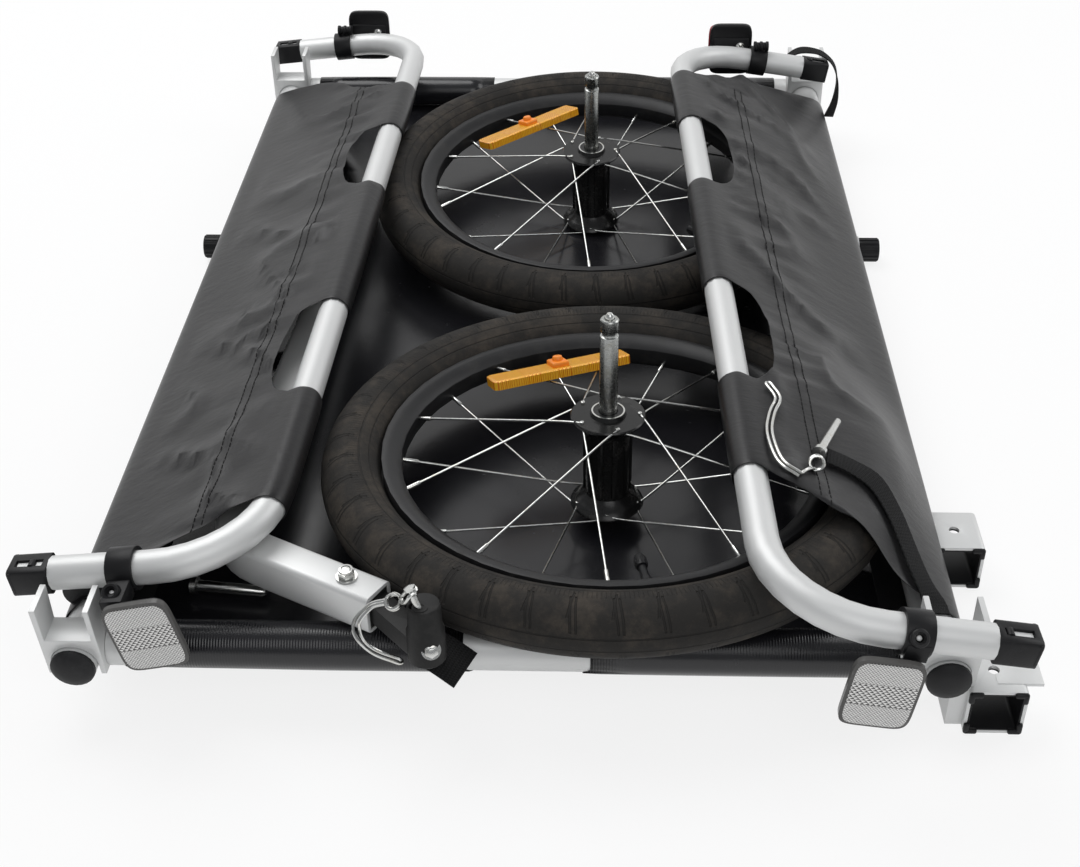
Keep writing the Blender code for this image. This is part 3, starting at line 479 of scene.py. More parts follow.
@dataclass(frozen=True)
class SoftRubber(Finish):
    """Smooth moulded rubber with a slight bloom."""

    colour: Colour = (0.010, 0.010, 0.010)
    bloom: Colour = (0.032, 0.031, 0.030)
    mirror: float = 0.25

    def build(self, graph: Graph) -> bpy.types.Material:
        """Matt black rubber."""
        at = graph.coordinates()
        cloudy = graph.speckle(at, 90, 5, 0.65)
        colour = graph.blend(cloudy.ramp(0.4, 0.8) * 0.6, self.colour, self.bloom)
        sockets = {"Base Color": colour, "Roughness": 0.55 + (cloudy - 0.5) * 0.2}
        sockets["Specular IOR Level"] = self.mirror
        return graph.surface(sockets, cloudy, 0.0002)


@dataclass(frozen=True)
class CoatedCloth(Finish):
    """Woven polyester with a plastic coating: the weave shows faintly through it."""

    colour: Colour = (0.0115, 0.0112, 0.0120)
    roughness: float = 0.37
    threads: float = 0.0011
    relief: float = 0.00007
    mirror: float = 0.32
    crest_tint: Colour = (0.040, 0.039, 0.040)

    def build(self, graph: Graph) -> bpy.types.Material:
        """Coated cloth."""
        at = graph.coordinates()
        x, y, _ = graph.split(at)
        pitch = math.tau / self.threads
        weave = (x * pitch).sine() * (y * pitch).sine() * 0.5 + 0.5
        cloudy = graph.speckle(at, 9, 4)
        crease = graph.speckle(graph.mapped(at, (1, 2.2, 1)), 55, 6, 0.65)
        crease_crests = crease.ramp(0.58, 0.82)
        # The cloth is drawn lighter along the crests of the crease relief, with a random cloudy tone as well.
        colour = graph.blend((crease_crests * 0.35 + (cloudy - 0.5) * 0.25).most(0), self.colour, self.crest_tint)
        rough = self.roughness + (cloudy - 0.5) * 0.16 + crease_crests * 0.10
        sockets = {"Base Color": colour, "Roughness": rough, "Specular IOR Level": self.mirror}
        return graph.surface(sockets, weave * 0.4 + crease * 6.0, self.relief)


@dataclass(frozen=True)
class RibbedFloor(Finish):
    """Glossy black floor sheet; its woven backing shows as fine ribs over the front tube."""

    colour: Colour = (0.010, 0.010, 0.012)
    dust: Colour = (0.060, 0.060, 0.062)
    tube_y: float = -0.4167
    rib: float = 0.0018

    def build(self, graph: Graph) -> bpy.types.Material:
        """Glossy ribbed sheet."""
        at = graph.coordinates()
        x, y, _ = graph.split(at)
        on_tube = y.band(self.tube_y, 0.015, 0.004)
        ribs = ((x * (math.tau / self.rib)).sine() * 0.5 + 0.5) * on_tube
        ripple = graph.speckle(at, 16, 4)
        fine = graph.speckle(at, 240, 4)
        dust = graph.speckle(at, 70, 6, 0.72).ramp(0.62, 0.85)
        colour = graph.blend(dust * 0.35, self.colour, self.dust)
        rough = 0.16 + ripple * 0.16 + dust * 0.2
        height = ribs * 1.6 + ripple * 3 + fine * 0.3
        return graph.surface({"Base Color": colour, "Roughness": rough}, height, 0.00012)


@dataclass(frozen=True)
class Webbing(Finish):
    """Black polypropylene webbing; the UV map is in metres along and across the strap."""

    # The hollows colour is painted shade: the near black drawn between the yarns.
    hollows: Colour = (0.005, 0.005, 0.005)
    yarn: Colour = (0.024, 0.024, 0.025)
    warp: float = 0.0017
    weft: float = 0.0024
    mirror: float = 0.15

    def build(self, graph: Graph) -> bpy.types.Material:
        """Woven strap, with painted shade in the weave's hollows."""
        along, across, _ = graph.split(graph.coordinates("UV"))
        warp = ((across / self.warp + (along / self.weft).whole() * 0.5) * math.tau).sine() * 0.5 + 0.5
        weft = ((along / self.weft) * math.tau).sine() * 0.5 + 0.5
        weave = warp * 0.6 + weft * 0.4
        fuzz = graph.speckle(graph.coordinates(), 900, 3)
        # Painted shade: the weave's hollows are drawn near black and the yarn lighter.
        colour = graph.blend(weave * 0.6 + fuzz * 0.2, self.hollows, self.yarn)
        sockets = {"Base Color": colour, "Roughness": 0.74, "Specular IOR Level": self.mirror}
        return graph.surface(sockets, weave + fuzz * 0.3, 0.0004)


@dataclass(frozen=True)
class PrismLens(Finish):
    """Moulded reflector: rows of small prisms in bands, coloured with painted glints and painted shade. The
    UV map is in metres across and up the lens.
    """

    # The first colour is the prisms' painted glint, the second their painted shade.
    bright: Colour = (0.94, 0.93, 0.91)
    painted_facet_shade: Colour = (0.012, 0.012, 0.011)
    metallic: float = 0.12
    pitch: float = 0.0029
    band: float = 0.0165

    def build(self, graph: Graph) -> bpy.types.Material:
        """Prismatic plastic with painted glints and painted shade on its facets."""
        across, up, _ = graph.split(graph.coordinates("UV"))
        row = up / self.band + 0.5
        odd = 1 - (row.whole() * 0.5).fraction() * 2
        size = self.pitch * (0.72 + odd * 0.42)
        first = ((across + up) / size).fraction()
        second = ((across - up) / size).fraction()
        facet = (first - 0.5).size() + (second - 0.5).size()
        # Painted glints and painted shade: facets sloping one way are bright and the rest dark, alternate
        # bands are darker, and each band's edges are darker too.
        painted_glint = (first - second).ramp(-0.15, 0.25)
        edge = (row.fraction() - 0.5).size().ramp(0.44, 0.49)
        mask = (painted_glint * (0.66 + odd * 0.30) + facet * 0.25 + edge * 0.2).least(1)
        colour = graph.blend(mask, self.bright, self.painted_facet_shade)
        sockets = {"Base Color": colour, "Metallic": self.metallic, "Roughness": 0.20, "Coat Weight": 0.25}
        sockets["Coat Roughness"] = 0.06
        return graph.surface(sockets, facet, 0.0004)


@dataclass(frozen=True)
class AmberPlastic(Finish):
    """Plain orange plastic of the spoke reflector's clip."""

    colour: Colour = (0.95, 0.28, 0.02)
    shade: Colour = (0.70, 0.16, 0.01)

    def build(self, graph: Graph) -> bpy.types.Material:
        """Bright orange plastic."""
        fine = graph.speckle(graph.coordinates(), 300, 3)
        colour = graph.blend(fine.ramp(0.3, 0.9) * 0.4, self.colour, self.shade)
        return graph.surface({"Base Color": colour, "Roughness": 0.35}, fine, 0.0001)


@dataclass(frozen=True)
class PaleFloor(Finish):
    """White studio floor that keeps soft shadows."""

    def build(self, graph: Graph) -> bpy.types.Material:
        """White for the camera and for reflections, with the object's shadow kept."""
        rays = graph.node("ShaderNodeLightPath")
        seen = Value(graph, rays.outputs["Is Camera Ray"]).most(Value(graph, rays.outputs["Is Glossy Ray"]))
        matt = graph.node("ShaderNodeBsdfDiffuse", {}, {"Color": (0.93, 0.93, 0.93, 1)})
        glow = graph.node("ShaderNodeEmission", {}, {"Color": (1, 1, 1, 1), "Strength": 1.0})
        both = graph.node("ShaderNodeMixShader", {}, {0: seen * 0.82, 1: matt.outputs[0], 2: glow.outputs[0]})
        graph.node("ShaderNodeOutputMaterial", {}, {"Surface": both.outputs[0]})
        return graph.material


TUBE_Y = SilverTube("silver_tube_along")
TUBE_X = SilverTube("silver_tube_across", Grain.ALONG_X)
CASTING = SilverTube("silver_plate", Grain.NONE)
STEEL = BrightSteel("plated_steel_bright")
AXLE_STEEL = BrightSteel("plated_axle", (0.40, 0.41, 0.40), 0.26)
PLASTIC = MouldedBlack("moulded_black")
CAP_PLASTIC = MouldedBlack("cap_black", (0.015, 0.015, 0.016), 0.5, 500.0)
LENS_RIM = MouldedBlack("lens_rim", (0.095, 0.093, 0.090), 0.2, 700.0)
RIM_METAL = BlackMetal("rim_black", (0.013, 0.013, 0.014), 0.45)
HUB_METAL = BlackMetal("hub_black", (0.010, 0.010, 0.010), 0.2)
TREAD = TyreTread("tyre_tread")
RUBBER = SoftRubber("connector_rubber")
PANEL = CoatedCloth("side_cloth")
FLOOR = RibbedFloor("floor_sheet_gloss")
WEB = Webbing("strap_weave")
CLEAR = PrismLens("clear_prisms")
RED = PrismLens("red_prisms", (0.62, 0.02, 0.015), (0.16, 0.004, 0.004), 0.1)
AMBER = PrismLens("amber_prisms", (1.0, 0.56, 0.03), (0.66, 0.18, 0.005), 0.05, 0.0026, 0.012)
ORANGE = AmberPlastic("orange_clip")
RED_RIM = MouldedBlack("red_lens_edge", (0.42, 0.008, 0.02), 0.2, 700.0)
FOLDED = CoatedCloth("folded_cloth", (0.014, 0.014, 0.015), 0.5)
THREAD = MouldedBlack("seam_thread", (0.004, 0.004, 0.004), 0.7, 1500.0)


# Modelling


def smooth_line(knots: Sequence[Vector], steps: int) -> list[Vector]:
    """Points on a smooth curve through the knots.

    Args:
        knots: Points that the curve passes.
        steps: Points made for each stretch between two knots.

    Returns:
        The curve's points, first and last knot included.
    """
    padded = [knots[0] * 2 - knots[1], *knots, knots[-1] * 2 - knots[-2]]
    line = []
    for a, b, c, d in zip(padded, padded[1:], padded[2:], padded[3:]):
        for i in range(steps):
            t = i / steps
            partial = 2 * b + (c - a) * t + (2 * a - 5 * b + 4 * c - d) * t**2
            line.append(0.5 * (partial + (3 * b - a - 3 * c + d) * t**3))
    return [*line, knots[-1].copy()]


def frames_along(line: Sequence[Vector], up: Optional[Sequence[Vector]] = None) -> list[Matrix]:
    """Matrices along a line whose Z axis runs on along it and whose Y axis leans towards up.

    Args:
        line: Points of the line.
        up: Direction for each point; without it the frames turn as little as they can.

    Returns:
        One matrix for each point.
    """
    frames = []
    last = Vector((0, 0, 1)) if abs((line[1] - line[0]).normalized().z) < 0.9 else Vector((1, 0, 0))
    for i, point in enumerate(line):
        ahead = (line[min(i + 1, len(line) - 1)] - line[max(i - 1, 0)]).normalized()
        lean = up[i] if up else last
        side = lean.cross(ahead).normalized()
        last = ahead.cross(side)
        frame = Matrix((side, last, ahead)).transposed().to_4x4()
        frame.translation = point
        frames.append(frame)
    return frames


def aimed(start: Vector, end: Vector) -> Matrix:
    """A matrix at the middle of two points whose Z axis runs from the first to the second."""
    return Matrix.Translation((start + end) / 2) @ facing(end - start)


def spin_round(part: bmesh.types.BMesh, geometry: list, steps: int) -> None:
    """Turns points and edges once round the Z axis and closes the ring."""
    bmesh.ops.spin(
        part, geom=geometry, cent=(0, 0, 0), axis=(0, 0, 1), angle=math.tau, steps=steps, use_merge=True
    )


def extruded(part: bmesh.types.BMesh, loop: list) -> tuple[list, list]:
    """Extrudes edges; gives the new points, which are still to be moved, and the new edges."""
    made = bmesh.ops.extrude_edge_only(part, edges=loop)["geom"]
    points = [v for v in made if isinstance(v, bmesh.types.BMVert)]
    return points, [e for e in made if isinstance(e, bmesh.types.BMEdge)]


class Shape:
    """A piece being modelled, in metres in the trailer's frame; each call adds one closed form."""

    def __init__(self) -> None:
        """Starts with nothing in it."""
        self.mesh = bmesh.new()

    def take(self, part: bmesh.types.BMesh, place: Matrix, bevel: float, segments: int) -> "Shape":
        """Rounds a new form's sharp edges, places it and adds it to the piece."""
        bmesh.ops.recalc_face_normals(part, faces=part.faces)
        if bevel:
            inner = [e for e in part.edges if len(e.link_faces) == 2]
            sharp = [e for e in inner if e.calc_face_angle() > FORM_EDGE_RADIANS]
            bmesh.ops.bevel(
                part, geom=sharp, offset=bevel, segments=segments, profile=0.5, affect="EDGES", material=-1
            )
        bmesh.ops.transform(part, matrix=place, verts=part.verts)
        bmesh.ops.recalc_face_normals(part, faces=part.faces)
        mesh = bpy.data.meshes.new("part")
        part.to_mesh(mesh)
        part.free()
        self.mesh.from_mesh(mesh)
        bpy.data.meshes.remove(mesh)
        return self

    def block(self, size: Point, place: Matrix, bevel: float = 0.0006, segments: int = 2) -> "Shape":
        """Adds a box with rounded edges."""
        part = bmesh.new()
        bmesh.ops.create_cube(part, size=1, matrix=Matrix.Diagonal((*size, 1)))
        return self.take(part, place, bevel, segments)

    def drum(
        self, radius: float, length: float, place: Matrix, sides: int, bevel: float, tip: float = 1.0
    ) -> "Shape":
        """Adds a cylinder along the place's Z axis; tip is the far end's share of the radius."""
        part = bmesh.new()
        bmesh.ops.create_cone(
            part, cap_ends=True, segments=sides, radius1=radius, radius2=radius * tip, depth=length
        )
        return self.take(part, place, bevel, 2)

    def rod(self, start: Vector, end: Vector, radius: float, sides: int, bevel: float = 0.0) -> "Shape":
        """Adds a cylinder from one point to another."""
        return self.drum(radius, (end - start).length, aimed(start, end), sides, bevel)

    def turned(self, profile: Outline, place: Matrix, steps: int, closed: bool = False) -> "Shape":
        """Adds a form turned about the place's Z axis.

        Args:
            profile: (radius, height) points.
            place: Where the axis stands.
            steps: Number of facets round it.
            closed: True for a ring whose profile meets its own start.

        Returns:
            This piece.
        """
        part = bmesh.new()
        points = [part.verts.new((r, 0, z)) for r, z in profile]
        edges = [part.edges.new(pair) for pair in zip(points, points[1:])]
        if closed:
            edges.append(part.edges.new((points[-1], points[0])))
        spin_round(part, [*points, *edges], steps)
        bmesh.ops.remove_doubles(part, verts=part.verts, dist=1e-6)
        return self.take(part, place, 0, 1)

    def swept(self, section: Outline, frames: Sequence[Matrix]) -> "Shape":
        """Adds a section drawn along frames, with capped ends.

        Args:
            section: Points across a frame's X and Y axes.
            frames: Where the section passes.

        Returns:
            This piece.
        """
        part = bmesh.new()
        points = [part.verts.new(frames[0] @ Vector((x, y, 0))) for x, y in section]
        first = [part.edges.new((points[i - 1], points[i])) for i in range(len(points))]
        loop = first
        for before, after in zip(frames, frames[1:]):
            points, loop = extruded(part, loop)
            bmesh.ops.transform(part, matrix=after @ before.inverted(), verts=points)
        bmesh.ops.edgeloop_fill(part, edges=first)
        bmesh.ops.edgeloop_fill(part, edges=loop)
        return self.take(part, Matrix(), 0, 1)

    def wire(self, line: Sequence[Vector], radius: float) -> "Shape":
        """Adds a round wire along a line of points."""
        angles = [math.tau * i / WIRE_SIDES for i in range(WIRE_SIDES)]
        ring = [(radius * math.cos(a), radius * math.sin(a)) for a in angles]
        return self.swept(ring, frames_along(line))

    def piece(
        self, name: str, finish: Finish, body: str, slot: Slot, smooth: float = SHARP_DEGREES
    ) -> bpy.types.Object:
        """Makes the modelled forms one object that rides on a body.

        Args:
            name: The object's name.
            finish: Its surface.
            body: The CAD body that it moves with, or nothing for a piece that is left unattached.
            slot: The record's material slot; not used.
            smooth: Edges sharper than this many degrees stay hard.

        Returns:
            The new object.
        """
        for face in self.mesh.faces:
            face.smooth = True
        for edge in self.mesh.edges:
            edge.smooth = len(edge.link_faces) != 2 or edge.calc_face_angle(0.0) < math.radians(smooth)
        mesh = bpy.data.meshes.new(name)
        self.mesh.to_mesh(mesh)
        self.mesh.free()
        mesh.materials.append(finish.material())
        made = new_object(name, mesh)
        if body:
            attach(made, body)
        LOG.info("%s: %d faces", name, len(mesh.polygons))
        return made


def rounded(width: float, height: float, corner: float, steps: int = 4) -> Outline:
    """Outline of a rectangle with round corners."""
    outline = []
    for quarter in range(4):
        sx, sy = ((1, 1), (-1, 1), (-1, -1), (1, -1))[quarter]
        for i in range(steps + 1):
            angle = math.pi / 2 * (quarter + i / steps)
            x = sx * (width / 2 - corner) + corner * math.cos(angle)
            outline.append((x, sy * (height / 2 - corner) + corner * math.sin(angle)))
    return outline


class NodeDresser:
    """Gives the CAD nodes their finish, small edge rounds and smooth shading."""

    def __init__(self, nodes: dict[str, bpy.types.Object]) -> None:
        """Keeps the frame's nodes."""
        self.nodes = nodes
        self.shading = self._shading_group()

    @staticmethod
    def _shading_group() -> bpy.types.GeometryNodeTree:
        """Modifier that shades a mesh smooth apart from its sharp edges."""
        group = bpy.data.node_groups.new("smooth_but_sharp_edges", "GeometryNodeTree")
        group.interface.new_socket("Geometry", in_out="INPUT", socket_type="NodeSocketGeometry")
        group.interface.new_socket("Geometry", in_out="OUTPUT", socket_type="NodeSocketGeometry")
        source = group.nodes.new("NodeGroupInput")
        result = group.nodes.new("NodeGroupOutput")
        faces = group.nodes.new("GeometryNodeSetShadeSmooth")
        edges = group.nodes.new("GeometryNodeSetShadeSmooth")
        edges.domain = "EDGE"
        edges.inputs["Shade Smooth"].default_value = False
        angle = group.nodes.new("GeometryNodeInputMeshEdgeAngle")
        sharp = group.nodes.new("FunctionNodeCompare")
        sharp.operation = "GREATER_THAN"
        sharp.inputs[1].default_value = math.radians(SHARP_DEGREES)
        link = group.links.new
        link(source.outputs[0], faces.inputs["Geometry"])
        link(faces.outputs[0], edges.inputs["Geometry"])
        link(angle.outputs[0], sharp.inputs[0])
        link(sharp.outputs[0], edges.inputs["Selection"])
        link(edges.outputs[0], result.inputs[0])
        return group

    def dress(self, finish: Finish, *names: str, bevel: float = 0.0) -> None:
        """Gives nodes a finish.

        Args:
            finish: Their surface.
            names: The nodes.
            bevel: Radius of the rounds on their sharp edges, in metres.
        """
        for name in names:
            node = self.nodes[name]
            node.data.materials.clear()
            node.data.materials.append(finish.material())
            weld = node.modifiers.new("weld", "WELD")
            weld.merge_threshold = 1e-5
            if bevel:
                round_off = node.modifiers.new("edge_rounds", "BEVEL")
                round_off.width = bevel
                round_off.segments = 2
                round_off.limit_method = "ANGLE"
                round_off.angle_limit = math.radians(BEVEL_DEGREES)
            shade = node.modifiers.new("shading", "NODES")
            shade.node_group = self.shading
            LOG.info("%s dressed", name)


# Cloth


def node_sheet(node: bpy.types.Object, levels: int) -> bpy.types.Mesh:
    """A finer copy of a cloth node's mesh.

    Args:
        node: The CAD node.
        levels: Times that it is subdivided.

    Returns:
        The new mesh, made of four-sided faces where it can be.
    """
    rough = bmesh.new()
    rough.from_mesh(node.data)
    bmesh.ops.remove_doubles(rough, verts=rough.verts, dist=2e-5)
    even = math.radians(60)
    bmesh.ops.join_triangles(rough, faces=rough.faces, angle_face_threshold=even, angle_shape_threshold=even)
    mesh = bpy.data.meshes.new(node.name + "_sheet")
    rough.to_mesh(mesh)
    rough.free()
    holder = new_object("sheet_holder", mesh)
    finer = holder.modifiers.new("finer", "SUBSURF")
    finer.levels = finer.render_levels = levels
    depsgraph = bpy.context.evaluated_depsgraph_get()
    fine = bpy.data.meshes.new_from_object(holder.evaluated_get(depsgraph))
    bpy.data.objects.remove(holder)
    bpy.data.meshes.remove(mesh)
    for face in fine.polygons:
        face.use_smooth = True
    return fine


def surface_over(mesh: bpy.types.Mesh) -> BVHTree:
    """A tree to drop points on to a mesh."""
    points = [v.co.copy() for v in mesh.vertices]
    return BVHTree.FromPolygons(points, [tuple(p.vertices) for p in mesh.polygons])


def dropped(tree: BVHTree, x: float, y: float) -> tuple[Optional[Vector], Optional[Vector]]:
    """The highest point of a surface at a place, and the surface's normal there."""
    return tree.ray_cast(Vector((x, y, RAY_START)), Vector((0, 0, -1)))[:2]


def new_cloth(name: str, mesh: bpy.types.Mesh, finish: Finish, node: str) -> bpy.types.Object:
    """Makes a cloth's mesh an object in place of its CAD node."""
    mesh.materials.clear()
    mesh.materials.append(finish.material())
    cloth = new_object(name, mesh)
    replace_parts(cloth, node)
    LOG.info("%s: %d faces", name, len(mesh.polygons))
    return cloth


@dataclass
class SideCloth:
    """One side cloth: sewn round its rail and round the hoop's run, with a double-stitched seam along it.

    Wrinkles of the height pucker lie within pucker_reach of the seam, and those of the height fold elsewhere.
    They fade towards the rail, the hoop's run and the calm point: each fade is the distance that stays smooth
    and the distance over which the wrinkles then grow. Each cut-out's long edge is drawn back by up to bite.
    The points within bite_zone of the hoop's run follow, in full up to bite_full and then less and less.
    """

    side: Side
    seam: Outline
    cutouts: Outline
    flat: tuple[float, float] = (0.20, 0.86)
    bite: float = 0.013
    bite_full: float = 0.016
    bite_zone: tuple[float, float] = (0.006, 0.075)
    pucker: float = 0.0042
    pucker_reach: float = 0.030
    fold: float = 0.0042
    ridge: float = 0.0007
    ridge_reach: float = 0.006
    rail_fade: tuple[float, float] = (0.006, 0.03)
    run_fade: tuple[float, float] = (0.013, 0.012)
    calm_fade: tuple[float, float] = (0.026, 0.025)
    stitch: float = 0.0032
    gap: float = 0.0016
    thread: float = 0.00042
    rows: tuple[float, float] = (-0.0032, 0.0032)
    bend: tuple[float, float] = (0.268, 0.165)
    calm: Optional[Vector] = None
    tree: Optional[BVHTree] = field(default=None, repr=False)

    def seam_x(self, y: float) -> float:
        """X of the seam at this Y."""
        (x0, y0), (x1, y1) = self.seam[0], self.seam[-1]
        return x0 + (x1 - x0) * (y - y0) / (y1 - y0)

    def off_run(self, x: float, y: float) -> float:
        """How far a point lies out from the middle of the hoop's run."""
        place = hoop_place(self.side)
        run = place @ Vector((0, (y - place.translation.y) / place.col[1].y, 0))
        return self.side.value * (x - run.x)

    def _round_cutouts(self, mesh: bpy.types.Mesh) -> None:
        """Draws each cut-out's long edge back from the hoop's run into a bow."""
        smooth = surface_over(mesh)
        inner, outer = self.bite_zone
        moves = []
        for vert in mesh.vertices:
            x, y, z = vert.co
            off = self.off_run(x, y)
            for front, rear in self.cutouts:
                middle, half = (front + rear) / 2 - BED_MIDDLE, (rear - front) / 2
                along = (y - middle) / half
                if abs(along) >= 1 or not inner < off < outer:
                    continue
                share = 1 - max(0.0, off - self.bite_full) / (outer - self.bite_full)
                inward = self.bite * math.sqrt(1 - along**2) * share * (2 - share)
                here = dropped(smooth, x, y)[0]
                there = dropped(smooth, x + self.side.value * inward, y)[0]
                if here is not None and there is not None:
                    moves.append((vert, Vector((x + self.side.value * inward, y, z + there.z - here.z))))
        for vert, target in moves:
            vert.co = target

    def rise(self, point: Vector) -> float:
        """How far the cloth stands proud of the smooth sheet at a point."""
        off = point.x - self.seam_x(point.y)
        near = math.exp(-((off / self.pucker_reach) ** 2))
        smooth, grow = self.rail_fade
        edge = clamped((RAIL_X - smooth - abs(point.x - BED_SHIFT)) / grow)
        smooth, grow = self.run_fade
        edge *= clamped((self.off_run(point.x, point.y) - smooth) / grow)
        if self.calm:
            smooth, grow = self.calm_fade
            edge *= clamped((math.hypot(point.x - self.calm.x, point.y - self.calm.y) - smooth) / grow)
        quick = noise.noise(Vector((point.x * 9, point.y * 78, 3.1 * self.side.value)))
        slow = noise.noise(Vector((point.x * 16 + point.y * 7, point.y * 15, 7.7)))
        crest = max(0.0, 1 - abs(slow) * 3.2)
        ridge = self.ridge * math.exp(-((off / self.ridge_reach) ** 2))
        return edge * (self.pucker * near * (0.4 + quick) + self.fold * crest**2 + ridge)

    def build(self, frame: dict) -> None:
        """Makes the wrinkled cloth and its stitches."""
        label = self.side.label
        node = frame["nodes"]["side_panel_" + label]
        mesh = node_sheet(node, 2)
        self._round_cutouts(mesh)
        for vert in mesh.vertices:
            vert.co.z += max(0.0, self.rise(vert.co))
        cloth = new_cloth("side_cloth_" + label, mesh, PANEL, node.name)
        self.tree = surface_over(mesh)
        self._cross_fold(cloth)
        seam = self._stitches()
        self._cross_fold(seam)

    def _cross_fold(self, piece: bpy.types.Object) -> None:
        """Bakes a piece's placement into its mesh; the ends of the bend are worked out but not used."""
        start, end = (self.side.value * x + BED_SHIFT for x in self.bend)
        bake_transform(piece)

    def drop(self, x: float, y: float) -> Optional[tuple[Vector, Vector]]:
        """The cloth's upper surface and its normal over a point of the bed, or None past its edge."""
        hit, normal = dropped(self.tree, x, y)
        if hit is None:
            return None
        return hit, normal if normal.z > 0 else -normal

    def _stitches(self) -> bpy.types.Object:
        """Two rows of thread stitches along the seam."""
        shape = Shape()
        (_, y0), (_, y1) = self.seam[0], self.seam[-1]
        step = self.stitch + self.gap
        for row in self.rows:
            for i in range(int(abs(y1 - y0) / step)):
                y = y0 + (step * i + self.stitch / 2) * math.copysign(1, y1 - y0)
                x = self.seam_x(y) + row
                ends = [self.drop(x, y - self.stitch / 2), self.drop(x, y + self.stitch / 2)]
                if None in ends or abs(ends[0][0].z - ends[1][0].z) > 0.004:
                    continue
                a, b = (hit + normal * 0.0001 for hit, normal in ends)
                shape.rod(a, b, self.thread, 5)
        return shape.piece("side_seam_" + self.side.label, THREAD, "", Slot.PANEL)


@dataclass
class FloorCloth:
    """The bed's floor: one glossy sheet sewn round the front and rear tubes, with hems below the rails."""

    flat: tuple[float, float] = (0.50, 0.93)
    ripple: float = 0.0010
    level_from: tuple[float, float] = (0.25, 0.40)
    fade: float = 0.04
    hem: Point = (0.022, 0.0010, 0.0300)
    hem_x: float = 0.2545
    hem_end: float = 0.385
    axle_gap: float = 0.023

    def build(self, frame: dict) -> None:
        """Makes the floor sheet, with shallow ripples away from its edges, and its hems."""
        node = frame["nodes"]["floor_sheet"]
        mesh = node_sheet(node, 1)
        for vert in mesh.vertices:
            wave = noise.noise(Vector((vert.co.x * 11, vert.co.y * 7, 1.3)))
            inside = clamped((self.level_from[0] - abs(vert.co.x - BED_SHIFT)) / self.fade)
            inside *= clamped((self.level_from[1] - abs(vert.co.y)) / self.fade)
            vert.co.z -= self.ripple * inside * (0.5 + wave)
        sheet = new_cloth("floor_cloth", mesh, FLOOR, node.name)
        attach(sheet, "bed_frame")
        hems = Shape()
        width, thick, height = self.hem
        axle_y = middle_of(frame["nodes"]["axle_tube"]).y
        before, behind = axle_y - self.axle_gap, axle_y + self.axle_gap
        for side in Side:
            x = BED_SHIFT + side.value * self.hem_x
            for front, rear in ((-self.hem_end, before), (behind, self.hem_end)):
                hems.block((width, rear - front, thick), offset(x, (front + rear) / 2, height), 0.0004)
        hem = hems.piece("floor_hems", FOLDED, "bed_frame", Slot.FLOOR)


# Wheels


